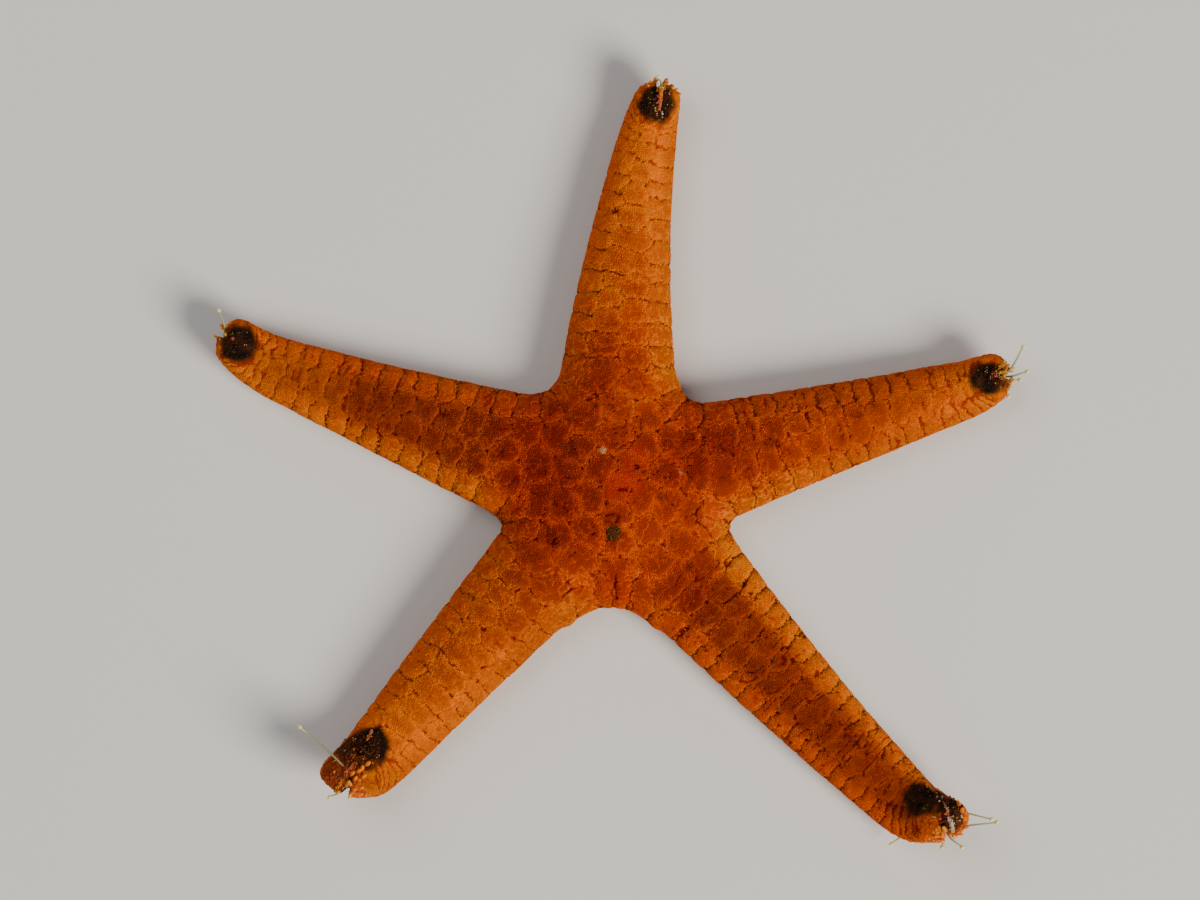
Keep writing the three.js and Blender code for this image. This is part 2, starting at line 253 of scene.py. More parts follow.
# Closed skin over rings of equal count.
def loft(rings):
    count, size = len(rings), len(rings[0])
    index = np.arange(count * size).reshape(count, size)
    here, there = index[:-1], index[1:]
    quads = np.stack([here, np.roll(here, -1, 1), np.roll(there, -1, 1), there], -1).reshape(-1, 4)
    caps = [index[0][::-1][None], index[-1][None]]
    return np.vstack(rings), [quads, *caps]


# An arm's section turns round towards the end, where a cap closes it.
def armRings(path):
    arm = path["arm"]
    length = arm["length"]
    station = length * (1 - (1 - np.linspace(0, 1, 120)) ** 1.4)
    at = framesAt(path, station)
    rounding = np.clip(1 - (length - station) / body["capRun"], 0, 1)
    cap = np.maximum(body["capLeast"], np.sqrt(1 - rounding ** 2))
    roundness = smoothStep(station, length - arm["curlRun"], length - body["roundRun"])
    halfWidth, height = fullHalfWidth(arm, station), fullHeight(arm, station)
    across, level = fullSection().T
    lifted = section["waist"] * (1 - np.sqrt(1 - np.minimum(1, across ** 2)))
    rings = []
    for i in range(len(station)):
        y = np.where(level < section["waist"], mix(level, lifted, roundness[i]), level)
        x = across * halfWidth[i] * cap[i]
        y = y * height[i] * cap[i] + height[i] * (1 - cap[i]) / 2
        rings.append(at["origin"][i] + x[:, None] * at["left"][i] + y[:, None] * at["up"][i])
    return rings


# A web of skin rounds the notch between two arms.
def webRings(notch):
    inward = math.radians(notch["heading"] + 180)
    pivot = -(notch["reach"] + notch["radius"]) * np.array([math.cos(inward), math.sin(inward), 0])
    arc = notch["radius"] + body["webHalfWidth"]
    across, level = fullSection().T
    rings = []
    for bearing in inward + np.radians(np.linspace(-body["webSpread"], body["webSpread"], 40)):
        out = np.array([math.cos(bearing), math.sin(bearing), 0])
        ring = pivot + (arc - across * body["webHalfWidth"])[:, None] * out
        ring[:, 2] = level * body["webHeight"]
        rings.append(ring)
    return rings


def domeRings():
    rings = []
    for radius, height in halfSection(40)[1:-1]:
        wide = radius * body["discRadius"]
        rings.append(ringAt(circle(160), wide, wide, height * body["discHeight"]))
    return rings


def joinParts(parts):
    points, faces, start = [], [], 0
    for partPoints, partFaces in parts:
        points.append(partPoints)
        faces += [group + start for group in partFaces]
        start += len(partPoints)
    return np.vstack(points), faces


def remeshed(points, faces, voxel):
    rough = makeObject("rough", points / mm, faces)
    shrink = rough.modifiers.new("remesh", "REMESH")
    shrink.mode = "VOXEL"
    shrink.voxel_size = voxel
    mesh = bpy.data.meshes.new_from_object(rough.evaluated_get(bpy.context.evaluated_depsgraph_get()))
    found = readMesh(mesh)
    quads = np.zeros(len(mesh.loops), np.int32)
    mesh.loops.foreach_get("vertex_index", quads)
    bpy.data.objects.remove(rough)
    bpy.data.meshes.remove(mesh)
    return found, quads.reshape(-1, 4)


def relax(points, quads, weight, rounds):
    ends = np.vstack([quads[:, [i, (i + 1) % 4]] for i in range(4)])
    size = len(points)
    count = np.bincount(ends[:, 0], minlength=size) + np.bincount(ends[:, 1], minlength=size)
    for _ in range(rounds):
        middle = np.zeros_like(points)
        for axis in range(3):
            middle[:, axis] = np.bincount(ends[:, 0], points[ends[:, 1], axis], size)
            middle[:, axis] += np.bincount(ends[:, 1], points[ends[:, 0], axis], size)
        points = mix(points, middle / count[:, None], weight[:, None])
    return points


paths = {name: armPath(arm) for name, arm in arms.items()}


# Where points lie along and round the arms: the arm's number, its station, left, up, and the share
# of the way round the section from the crown (0) to the middle of the underside (1).
def armPlaces(points):
    angle = np.degrees(np.arctan2(points[:, 1], points[:, 0])) % 360
    sector = (np.digitize(angle, [notch["heading"] for notch in notches]) - 1) % 5
    measures = ("station", "left", "up", "halfWidth", "height", "length")
    places = {key: np.zeros(len(points)) for key in measures}
    places["arm"], places["upAxis"] = sector, np.zeros((len(points), 3))
    for number, path in enumerate(paths.values()):
        arm = path["arm"]
        middles = path["origin"] + path["up"] * (fullHeight(arm, path["station"]) / 2)[:, None]
        picks = np.arange(0, len(middles), 3)
        coarse = middles[picks]
        chosen = np.flatnonzero(sector == number)
        for begin in range(0, len(chosen), 8000):
            rows = chosen[begin:begin + 8000]
            spots = points[rows]
            near = picks[np.argmin((coarse ** 2).sum(1) - 2 * spots @ coarse.T, 1)]
            slip = ((spots - middles[near]) * path["ahead"][near]).sum(1)
            station = np.clip(path["station"][near] + slip * 0.9, 0, arm["length"])
            at = framesAt(path, station)
            away = spots - at["origin"]
            places["station"][rows] = station
            places["left"][rows] = (away * at["left"]).sum(1)
            places["up"][rows] = (away * at["up"]).sum(1)
            places["upAxis"][rows] = at["up"]
        places["halfWidth"][chosen] = fullHalfWidth(arm, places["station"][chosen])
        places["height"][chosen] = fullHeight(arm, places["station"][chosen])
        places["length"][chosen] = arm["length"]
    wide, high = section["usualSize"]
    outline = halfSection()[::-1]
    way = np.concatenate([[0], np.cumsum(np.linalg.norm(np.diff(outline * [wide, high], axis=0), axis=1))])
    turning = np.arctan2(outline[:, 0] * wide, (outline[:, 1] - section["waist"]) * high)
    level = places["up"] / places["height"] - section["waist"]
    lean = np.arctan2(np.abs(places["left"]) / places["halfWidth"] * wide, level * high)
    places["round"] = np.interp(lean, turning, way / way[-1])
    return places


print("body")
parts = [loft(armRings(path)) for path in paths.values()]
parts += [loft(webRings(notch)) for notch in notches]
parts.append(loft(domeRings()))
skinPoints, skinQuads = remeshed(*joinParts(parts), body["voxel"])
reach = np.linalg.norm(skinPoints[:, :2], axis=1)
skinPoints = relax(skinPoints, skinQuads, np.where(reach < 40, 0.5, 0.3), 3)
skinPoints = relax(skinPoints, skinQuads, 0.5 * smoothStep(reach, 20, 14) * (skinPoints[:, 2] > 0.4), 40)
skinPoints -= normalsOf(skinPoints, skinQuads) * body["coatDepth"]
print("body points", len(skinPoints))

# The furrows and the mouth are sunk into the underside.
skin = armPlaces(skinPoints)
furrowHalf, furrowDepth = furrowAt(skin["station"] / skin["length"])
floorLevel = furrowDepth * (1 - smoothStep(np.abs(skin["left"]) / furrowHalf, 0.55, 1.15))
sunk = (floorLevel > skin["up"]) & (skin["up"] < 2.2)
skinPoints[sunk] += skin["upAxis"][sunk] * (floorLevel - skin["up"])[sunk, None]
middle = np.linalg.norm(skinPoints[:, :2], axis=1)
rim = furrow["mouthRadius"]
mouthLevel = furrow["mouthDepth"] * (1 - smoothStep(middle, rim - 0.3, rim + 0.3))
skinPoints[:, 2] = np.maximum(skinPoints[:, 2], np.where(skinPoints[:, 2] < 2.5, mouthLevel, 0))
skinNormals = normalsOf(skinPoints, skinQuads)


# The kinds of plate: on the disc, the crown, the upper margin, below, and beside the furrow.
discKind, crownKind, marginKind, soleKind, furrowKind = range(5)
plates = {
    "pitch": 2.35,
    "width": 3.0,
    "marginPitch": 1.95,
    "marginBand": 2.3,
    "jitter": 0.14,
    "armStart": 10.2,
    "discRings": ((0, 1), (2.6, 5), (5.1, 10), (7.7, 14)),
    # Rows along the margin: kind, level and place outwards as shares of the section, and half height.
    "marginRows": ((marginKind, 0.78, 0.86, 1.7), (soleKind, 0.12, 0.93, 1.2)),
    # Rows below: how far from the middle of the sole, where they start, and their pitch.
    "soleRows": ((1.5, 2.6, 0.95), (2.9, 4.6, 1.35), (4.3, 6.8, 1.5), (5.7, 9, 1.6)),
    "notchPitch": 1.7,
    "seamDepth": 0.11,
    "crackDepth": 0.1,
    "warp": 0.3,
}


# Each plate has a middle, a direction, a half length, a half width and a kind.
def plateRow(position, ahead, along, across, kind):
    return (*position, *ahead, along, across, kind)


def discSeeds():
    rows = []
    for radius, count in plates["discRings"]:
        for i in range(count):
            bearing = 360 * (i + 0.5 * (count % 2)) / count + arms["a"]["heading"] + random.normal(0, 4)
            spot = planar(bearing) * radius + [0, 0, 7.2]
            rows.append(plateRow(spot, planar(bearing + 90), 1.3, 1.3, discKind))
            rows.append(plateRow(spot * [1, 1, 0], planar(bearing + 90), 1.1, 1.1, soleKind))
    return rows


def crownSeeds(path):
    rows, arm, station = [], path["arm"], plates["armStart"]
    length, jitter = arm["length"], plates["jitter"]
    while station < length - 1:
        pitch = plates["pitch"] * mix(1.05, 0.82, station / length)
        room = 2 * max(0.9, fullHalfWidth(arm, station) - plates["marginBand"])
        columns = max(1, round(room / plates["width"]))
        for column in range(columns):
            lateral = (column - (columns - 1) / 2) * room / columns
            spot = station + pitch * 0.5 * (column % 2) + random.normal(0, jitter)
            at = framesAt(path, min(spot, length))
            place = placeOn(at, lateral + random.normal(0, jitter), fullHeight(arm, spot))
            rows.append(plateRow(place, at["ahead"], pitch / 2, room / columns / 2, crownKind))
        station += pitch
    return rows


def marginSeeds(path, side, notch):
    rows, arm = [], path["arm"]
    length = arm["length"]
    spread = math.radians((notch["heading"] - arm["heading"] + 180) % 360 - 180)
    first = (notch["reach"] + notch["radius"]) * math.cos(spread) + 0.9
    for kind, level, out, halfHeight in plates["marginRows"]:
        station = first + random.uniform(-0.2, 0.2)
        while station < length - 0.6:
            pitch = plates["marginPitch"] * mix(1.08, 0.85, station / length)
            pitch *= random.uniform(0.9, 1.12)
            at = framesAt(path, station)
            place = placeOn(at, side * fullHalfWidth(arm, station) * out, fullHeight(arm, station) * level)
            rows.append(plateRow(place, at["ahead"], pitch / 2, halfHeight, kind))
            station += pitch
    return rows


def soleSeeds(path, side):
    rows, arm = [], path["arm"]
    for lateral, station, pitch in plates["soleRows"]:
        kind = furrowKind if lateral < 2 else soleKind
        while station < arm["length"] - 0.8:
            onArm = lateral < 0.85 * fullHalfWidth(arm, station)
            if onArm or (station < 10 and lateral < station * 0.7):
                at = framesAt(path, station)
                rows.append(plateRow(placeOn(at, side * lateral), at["ahead"], pitch / 2, 0.7, kind))
            station += pitch
    return rows


def notchSeeds(notch):
    rows, radius = [], notch["radius"] + 1.6
    pivot = planar(notch["heading"]) * (notch["reach"] + notch["radius"])
    step = math.degrees(plates["notchPitch"] / radius)
    for side in (-1, 1):
        for i in range(max(1, int(42 / step))):
            out = planar(notch["heading"] + 180 + side * step * (i + 0.5))
            ahead = np.cross(out, [0, 0, 1.0])
            rows.append(plateRow(pivot + out * radius + [0, 0, 5], ahead, 0.8, 1.6, marginKind))
            rows.append(plateRow(pivot + out * radius, ahead, 0.8, 1.2, soleKind))
    return rows


def plateSeeds():
    rows = discSeeds()
    for number, path in enumerate(paths.values()):
        rows += crownSeeds(path)
        for side in (-1, 1):
            notch = notches[(number + (1 if side > 0 else 0)) % 5]
            rows += marginSeeds(path, side, notch) + soleSeeds(path, side)
    for notch in notches:
        rows += notchSeeds(notch)
    return np.array(rows)


# Each plate's middle is moved onto the skin, and its length and width lie along the skin.
def settledSeeds():
    seeds = plateSeeds()
    spots, ahead = seeds[:, :3], seeds[:, 3:6]
    squares = (skinPoints ** 2).sum(1)
    nearest = np.array([np.argmin(squares - 2 * skinPoints @ spot) for spot in spots])
    normal = skinNormals[nearest]
    along = unit(ahead - normal * (ahead * normal).sum(1)[:, None])
    return dict(spot=skinPoints[nearest], along=along, across=np.cross(normal, along), normal=normal,
                halfLength=seeds[:, 6], halfWidth=seeds[:, 7], kind=seeds[:, 8].astype(int))


seeds = settledSeeds()
print("plates", len(seeds["kind"]))


# How far points lie from the edge of their plate, in millimetres, how near they are to a corner between
# plates, how much that edge runs across the arm, and whether they are on the margin.
def plateField(points):
    warp = np.zeros_like(points)
    for scale, strength, seed in ((1.1, 1, 3), (0.4, 0.6, 13), (0.2, 0.3, 16)):
        warp += strength * np.stack([noise(points, scale, seed + i) for i in range(3)], 1)
    bent = points + warp * plates["warp"]
    result = {key: np.zeros(len(points)) for key in ("edge", "corner", "crossing", "margin", "bald")}
    spots = seeds["spot"]
    for begin in range(0, len(points), 4000):
        rows = slice(begin, begin + 4000)
        near = np.argpartition((spots ** 2).sum(1) - 2 * bent[rows] @ spots.T, 6, axis=1)[:, :7]
        away = bent[rows][:, None] - spots[near]
        along = (away * seeds["along"][near]).sum(-1) / seeds["halfLength"][near]
        across = (away * seeds["across"][near]).sum(-1) / seeds["halfWidth"][near]
        off = (away * seeds["normal"][near]).sum(-1) / 2.0
        scaled = np.sqrt(along ** 2 + across ** 2 + off ** 2)
        order = np.argsort(scaled, 1)[:, :3]
        first, second, third = np.take_along_axis(scaled, order, 1).T
        one, two = np.take_along_axis(near, order[:, :2], 1).T
        between = unit(spots[two] - spots[one])
        crossing = np.abs((between * seeds["along"][one]).sum(1))
        size = mix(seeds["halfWidth"][one], seeds["halfLength"][one], crossing)
        onMargin = seeds["kind"] == marginKind
        result["edge"][rows] = (second - first) / 2 * size
        result["corner"][rows] = (third - first) / 2 * size
        result["crossing"][rows] = crossing
        result["bald"][rows] = onMargin[one]
        result["margin"][rows] = onMargin[one] & onMargin[two]
    return result


colours = {
    "orange": (0.8, 0.158, 0.0),
    # The two margin colours are the flank's own orange on the side facing the key light, made yellower as
    # painted light, and on the other side, made redder as painted shade.
    "margin": (0.58, 0.122, 0.0),
    "shadedMargin": (0.58, 0.078, 0.0),
    "base": (0.43, 0.047, 0.0),
    "disc": (0.36, 0.03, 0.0005),
    "crack": (0.03, 0.003, 0.001),
    "under": (0.68, 0.16, 0.015),
    "pale": (0.55, 0.33, 0.16),
    "black": (0.012, 0.007, 0.004),
    "tipBrown": (0.1, 0.025, 0.008),
    "membrane": (0.24, 0.04, 0.01),
    "red": (0.6, 0.025, 0.002),
}
colours = {name: np.array(value) for name, value in colours.items()}

# How far along each arm the red of the disc gives way to orange, how dark its crown is, partly the arm's own
# deeper red and partly painted shade, which of its sides is the yellower, 1 for the left, which is the side
# facing the key light, made yellower as painted light, how light that side is, also painted light, and how
# cracked the arm is.
blush = {
    "a": dict(start=0.2, full=0.85, crown=1.0, yellow=-1, light=0.76, cracked=0.45),
    "b": dict(start=0.55, full=0.9, crown=0.62, yellow=1, light=1.0, cracked=0.75),
    "c": dict(start=0.15, full=0.8, crown=0.8, yellow=1, light=0.62, cracked=0.5),
    "d": dict(start=0.75, full=1.25, crown=0.62, yellow=1, light=1.12, cracked=1.0),
    "e": dict(start=0.35, full=1.1, crown=1.0, yellow=-1, light=0.78, cracked=0.8),
}

# Dark patches at the arm ends: where their middle is seen from above, how wide and soft they are, and
# how black. Below zero, a patch is the colour of a thin membrane.
tipPatches = {
    "a": (dict(middle=(3.94, 36.24), radius=1.9, soft=0.9, black=1.0),),
    "b": (dict(middle=(-35.83, 14.1), radius=1.95, soft=1.1, black=1.0),),
    "c": (dict(middle=(-25.9, -26.4), radius=2.1, soft=1.0, black=-1.0),
          dict(middle=(-24.5, -24.3), radius=2.5, soft=0.9, black=0.15),
          dict(middle=(-23.3, -24.0), radius=1.85, soft=0.8, black=1.0)),
    "d": (dict(middle=(32.0, -31.0), radius=1.3, soft=0.7, black=0.3),
          dict(middle=(29.0, -29.1), radius=2.15, soft=0.9, black=1.0),
          dict(middle=(31.5, -29.3), radius=1.5, soft=0.6, black=0.85)),
    "e": (dict(middle=(36.5, 10.7), radius=1.4, soft=0.8, black=0.3),
          dict(middle=(34.9, 10.7), radius=1.6, soft=0.9, black=1.0)),
}


# The number of the skin's highest point within a small gap of a place seen from above.
def topIndex(x, y, gap):
    aside = np.hypot(skinPoints[:, 0] - x, skinPoints[:, 1] - y)
    close = np.flatnonzero(aside < max(gap, aside.min() + 0.05))
    return close[np.argmax(skinPoints[close, 2])]


for patches in tipPatches.values():
    for patch in patches:
        patch["root"] = topIndex(*patch["middle"], 0.35)


# The colour of a tip patch, from black (0) to its brown or membrane (1).
def patchShade(patch, ash):
    return mix(colours["black"], colours["membrane" if patch["black"] < 0 else "tipBrown"], ash)


# Broad lighter and darker areas of the back, painted light and painted shade: place, size and how much
# lighter.
paintedLightAndShadeAreas = (
    (4.5, 9.6, 3.0, 1.22), (0.8, 8.0, 2.6, 1.2), (8.0, -2.0, 3.4, 1.22), (11.2, -6.4, 3.0, 1.22),
    (-4.8, -8.2, 3.2, 1.08), (6.0, 1.8, 3.0, 0.82), (6.9, -9.6, 3.5, 0.78), (0.3, 12.3, 3.5, 0.84),
    (3.6, -5.6, 3.4, 1.17), (-7.0, -1.0, 4.5, 0.72), (10.0, 5.2, 4.2, 0.75), (-8.5, 6.0, 4.5, 0.72),
    (0.6, -9.6, 1.8, 0.75),
)

# Stains and odd spots on the back: place, size, how strong and which colour.
blemishes = (
    (6.8, -7.4, 0.8, 0.55, "crack"), (4.1, -0.6, 0.9, 0.5, "crack"), (14.5, 4.6, 1.3, 0.4, "crack"),
    (-0.3, -4.1, 1.3, 0.5, "crack"), (0.6, 0.6, 2.2, 0.5, "red"), (1.9, 3.2, 1.5, 0.3, "red"),
    (-6.0, -4.7, 1.1, 0.45, "crack"), (-4.8, 3.7, 0.9, 0.4, "crack"), (-2.0, 7.9, 0.4, 0.6, "crack"),
    (8.2, 4.9, 0.35, 0.7, "crack"), (-1.3, 3.7, 0.4, 0.9, "pale"), (6.1, 1.6, 0.28, 0.5, "pale"),
)

# Where each marking begins and is full, round the section from the crown (0) to the sole (1), unless
# its note says otherwise.
markings = {
    "discToBase": (5, 15),           # millimetres from the middle of the disc
    "onArm": (9, 15),                # the same
    "crown": (0.34, 0.16),
    "flank": (0.13, 0.37),
    "below": (0.55, 0.7),
    "domeShade": (0.16, 0.26, 0),    # share of red, green and blue that a plate's middle loses
    "rimAt": 0.14,                   # millimetres from a plate's edge
    "rimWidth": 0.065,               # millimetres
    "rimTint": (0.85, 1.6, 0),       # share of red, green and blue that a pale rim gains
}


# Patchy areas, each with its size, its seed and the levels of noise where it begins and is full.
patterns = {
    "rims": (2.4, 24, -0.35, 0.35),
    "dots": (0.35, 34, -0.35, 0.1),
    "outlines": (2.0, 44, -0.4, 0),
    "pores": (0.6, 32, -0.1, 0.2),
    "hairs": (1.3, 37, -0.05, 0.15),
    "loops": (1.2, 40, -0.1, 0.15),
}
# Short breaks in lines, with size, seed and the level of noise below which the line is missing.
breaks = {"outlines": (0.3, 43, -0.35), "hairs": (0.3, 38, -0.3), "loops": (0.3, 42, -0.2)}


def patchy(points, name):
    scale, seed, begins, full = patterns[name]
    return smoothStep(noise(points, scale, seed), begins, full)


def unbroken(points, name):
    scale, seed, level = breaks[name]
    return noise(points, scale, seed) > level


# Thin winding lines, from 0 to 1.
def hairlines(points, scale, width, seed):
    return smoothStep(np.abs(noise(points, scale, seed)), width, width * 0.35)


# The value that each point's arm has in the blush table.
def blushAt(places, key):
    return np.array([blush[name][key] for name in armNames])[places["arm"]]


def markingAt(points, places, field):
    share = places["station"] / places["length"]
    reach = np.linalg.norm(points[:, :2], axis=1)
    broad = noise(points, 5.0, 21)
    fine = noise(points, 0.7, 22)
    start, full, crown, yellow, light = (blushAt(places, key)
                                         for key in ("start", "full", "crown", "yellow", "light"))
    # Red on the disc, orange along the arms, a crown darkened partly as painted shade, and a yellower flank
    # facing the key light as painted light and a redder one on the other side as painted shade.
    outward = smoothStep(reach + 2 * broad, *markings["discToBase"])
    colour = mix(colours["disc"], colours["base"], outward[:, None])
    orange = np.clip((share + 0.08 * broad - start) / (full - start), 0, 1)
    colour = mix(colour, colours["orange"], (orange * orange * (3 - 2 * orange))[:, None])
    onCrown = smoothStep(places["round"] + 0.05 * broad, *markings["crown"])
    onCrown = onCrown * smoothStep(reach, *markings["onArm"])
    # The crown is darker on some arms, partly their own deeper red and partly painted shade.
    colour = colour * mix(1, crown, onCrown)[:, None]
    # The flank facing the key light gets the yellower, lighter margin as painted light, and the other flank
    # the redder one as painted shade.
    margin = smoothStep(places["round"], *markings["flank"]) * smoothStep(reach, 9, 13)
    side = smoothStep(places["left"] * yellow, -0.5, 0.5)
    flank = mix(colours["shadedMargin"], colours["margin"] * light[:, None], side[:, None])
    colour = mix(colour, flank, 0.8 * margin[:, None])
    # Painted light and painted shade over broad areas. The lighter ones are also made yellower and the darker
    # ones redder.
    paintedLightAndShade = np.ones(len(points))
    for x, y, size, lighter in paintedLightAndShadeAreas:
        gap = np.hypot(points[:, 0] - x, points[:, 1] - y) / size
        paintedLightAndShade *= lighter ** np.exp(-(gap + 0.25 * fine) ** 2)
    colour = colour * (paintedLightAndShade * (1 + 0.12 * broad))[:, None] * (1 + (paintedLightAndShade[:, None] - 1) * [0, 1.2, 0])
    below = smoothStep(places["round"], *markings["below"])
    colour = mix(colour, colours["under"], below[:, None])
    # Pale rims and a pale lace round the plates, which are darker in their middle.
    inner = mix(1, 0.4, smoothStep(share, 0.2, 0.7))
    showing = patchy(points, "rims")
    rim = np.exp(-((field["edge"] - markings["rimAt"]) / markings["rimWidth"]) ** 2) * mix(0.6, 1.0, showing)
    lace = hairlines(points, 0.5, 0.16, 25) * mix(0.4, 0.7, showing)
    pale = (np.clip(np.maximum(rim, lace), 0, 1) * inner * (1 - below))[:, None]
    colour = colour * (1 + pale * markings["rimTint"]) + pale * [0.03, 0.008, 0.001]
    dome = smoothStep(field["edge"], 0.25, 0.8) * (1 - below) * (1 - 0.6 * field["bald"])
    colour = colour * (1 - dome[:, None] * markings["domeShade"])
    brightest = mix(colours["margin"], colours["orange"], orange[:, None]) * 1.05 + [0, 0.03, 0.03]
    colour = np.minimum(colour, brightest)
    colour = colour * (1 + 0.12 * field["bald"] * smoothStep(field["edge"], 0.1, 0.5))[:, None]
    colour = colour * (1 + 0.1 * fine)[:, None]
    for x, y, size, strength, name in blemishes:
        gap = np.hypot(points[:, 0] - x, points[:, 1] - y)
        spot = smoothStep(gap + 0.3 * fine * size, size, size * 0.3) * strength * (points[:, 2] > 4)
        colour = mix(colour, colours[name], spot[:, None])
    crack = crackAt(points, places, field)[:, None]
    colour = colour * (1 - crack * [0.86, 0.9, 0]) ** [1, 2, 1] + crack * colours["crack"] * 0.4
    for number, name in enumerate(armNames):
        for patch in tipPatches[name]:
            gap = np.linalg.norm(points - skinPoints[patch["root"]], axis=1) + 0.25 * fine
            dark = smoothStep(gap, patch["radius"] + patch["soft"] / 2, patch["radius"] - patch["soft"] / 2)
            ash = np.clip(1.2 - patch["black"] + 0.5 * fine, 0, 1)
            colour = mix(colour, patchShade(patch, ash[:, None]), (dark * (places["arm"] == number))[:, None])
    return np.clip(colour, 0.0005, 1)


# How far points lie from a crooked line seen from above.
def lineGap(points, line):
    best = np.full(len(points), 99.0)
    for first, last in zip(line[:-1], line[1:]):
        first, span = np.array(first), np.array(last) - np.array(first)
        along = np.clip(((points[:, :2] - first) @ span) / (span @ span), 0, 1)
        best = np.minimum(best, np.linalg.norm(points[:, :2] - first - along[:, None] * span, axis=1))
    return best


cracks = {
    "width": 0.05,
    "widthOnMargin": 0.015,
    "soft": 0.05,
    "hair": 0.1,
    "hairStretch": (0.55, 2.2, 2.2),    # along the arm, across it and upwards
    "pore": (0.2, 0.1),                 # how near a corner a pore begins and is full
    # How dark each kind is. Where there are two, the first is for the disc and the second for the arms.
    "outline": 0.4,
    "pores": 0.85,
    "hairs": 0.8,
    "loops": (0.85, 0.3),
    "across": (0.4, 0.55),
    "below": 0.5,
    "fade": 0.7,    # what is left of all of them near the arm ends
    # Cracks of the disc that are placed one by one, and how near to them they begin and are full.
    "lineWidth": (0.13, 0.05),
    "lines": (
        ((8.3, -1.3), (7.5, -2.1), (7.6, -3.1), (8.5, -3.7), (9.1, -4.7)),
        ((12.6, -8.3), (11.8, -9.6), (10.4, -10.7)),
        ((-0.1, -8.2), (0.0, -11.2)),
        ((-5.1, -10.2), (-4.3, -9.5), (-3.3, -9.2)),
    ),
}


# Dark cracks between plates and pores at their corners, with finer cracks across the arms, from 0 to 1.
def crackAt(points, places, field):
    onArm = smoothStep(np.linalg.norm(points[:, :2], axis=1), 7, 12)
    cracked = mix(1, blushAt(places, "cracked"), onArm)
    margin = field["margin"]
    width = cracks["width"] * (1 + 0.5 * noise(points, 0.6, 33)) + cracks["widthOnMargin"] * margin
    line = smoothStep(field["edge"], width + cracks["soft"], width * 0.6)
    crosswise = smoothStep(field["crossing"] + 0.25 * margin, 0.5, 0.85)
    rough = noise(points, 1.5, 31) + mix(0.2, 0.8, cracked) * margin + 0.15 * onArm
    dotted = mix(patchy(points, "dots"), 1, margin * cracked)
    onDiscLess, onArmLess = cracks["across"]
    across = line * crosswise * smoothStep(rough, 0.0, 0.25) * dotted
    across = across * mix(onDiscLess, mix(onArmLess, 1, cracked), onArm)
    outline = line * onArm * cracks["outline"] * unbroken(points, "outlines") * patchy(points, "outlines")
    pores = smoothStep(field["corner"], *cracks["pore"]) * patchy(points, "pores")
    swept = np.stack([places[key] for key in ("station", "left", "up")], 1) / cracks["hairStretch"]
    hairs = hairlines(swept, 1.0, cracks["hair"], 36) * patchy(points, "hairs")
    hairs = hairs * onArm * unbroken(points, "hairs") * cracks["hairs"] * smoothStep(cracked, 0.3, 1)
    loops = hairlines(points, 0.7, cracks["hair"], 39) * patchy(points, "loops")
    loops = loops * mix(*cracks["loops"], onArm) * unbroken(points, "loops")
    above = 1 - smoothStep(places["round"], 0.5, 0.6)
    fade = mix(1, cracks["fade"], smoothStep(places["station"] / places["length"], 0.55, 0.85))
    below = smoothStep(field["edge"], 0.14, 0.05) * cracks["below"] * (1 - above)
    strength = np.maximum.reduce([across, outline, pores * cracks["pores"], hairs, loops])
    strength = strength * above * fade + below
    for corners in cracks["lines"]:
        wander = lineGap(points, corners) + 0.1 * noise(points, 0.4, 35)
        strength = np.maximum(strength, smoothStep(wander, *cracks["lineWidth"]) * (points[:, 2] > 4))
    return np.clip(strength, 0, 1)


print("skin")
field = plateField(skinPoints)
crack = crackAt(skinPoints, skin, field)
seam = np.exp(-(field["edge"] / (0.22 + 0.16 * field["margin"])) ** 2) * (1 + 0.7 * field["margin"])
seam *= mix(0.45, 1, field["crossing"]) * smoothStep(skin["round"], 1.0, 0.9)
seam *= mix(1, 0.55, smoothStep(skin["station"] / skin["length"], 0.4, 0.9))
sinking = plates["seamDepth"] * seam + plates["crackDepth"] * crack
skinPoints -= skinNormals * sinking[:, None]
skinPoints -= skinNormals * (0.04 * (1 + noise(skinPoints, 1.6, 41)))[:, None]
skinPoints[:, 2] = np.maximum(skinPoints[:, 2], 0.02)
skinNormals = normalsOf(skinPoints, skinQuads)
skinColours = markingAt(skinPoints, skin, field)
# The skin between the granules is painted darker than they are, as painted shade in the gaps.
paintedGapShade = 0.75      # the skin shows between the granules, and is darker than they are

skinObject = makeObject("skin", skinPoints + discCentre, [skinQuads])
paint(skinObject, skinColours * paintedGapShade)


granules = {
    "upper": dict(spacing=0.155, radius=0.094, height=0.07),
    "lower": dict(spacing=0.3, radius=0.19, height=0.11),
    "sides": 5,
    "low": (1, -0.25),       # radius and height of a dome's lower ring
    "high": (0.78, 0.62),    # and of its upper ring
    "density": 2.2,
    "baldHeight": 0.6,
    "discRadius": 11.5,
    "darkest": 0.88,         # no granules grow in cracks darker than this
    "tint": (0.85, 1.17),
    "size": (0.85, 1.15),
    "mapHalf": 0.0015,       # half width of a granule's patch on the map
    "mapDisc": 40,           # millimetres across the whole map, on the disc
}


def addNode(tree, kind, inputs=(), **settings):
    node = tree.nodes.new(kind)
    for key, value in settings.items():
        setattr(node, key, value)
    for key, value in dict(inputs).items():
        node.inputs[key].default_value = value
    return node


def linkNodes(tree, *links):
    for source, output, target, entry in links:
        tree.links.new(source.outputs[output], target.inputs[entry])


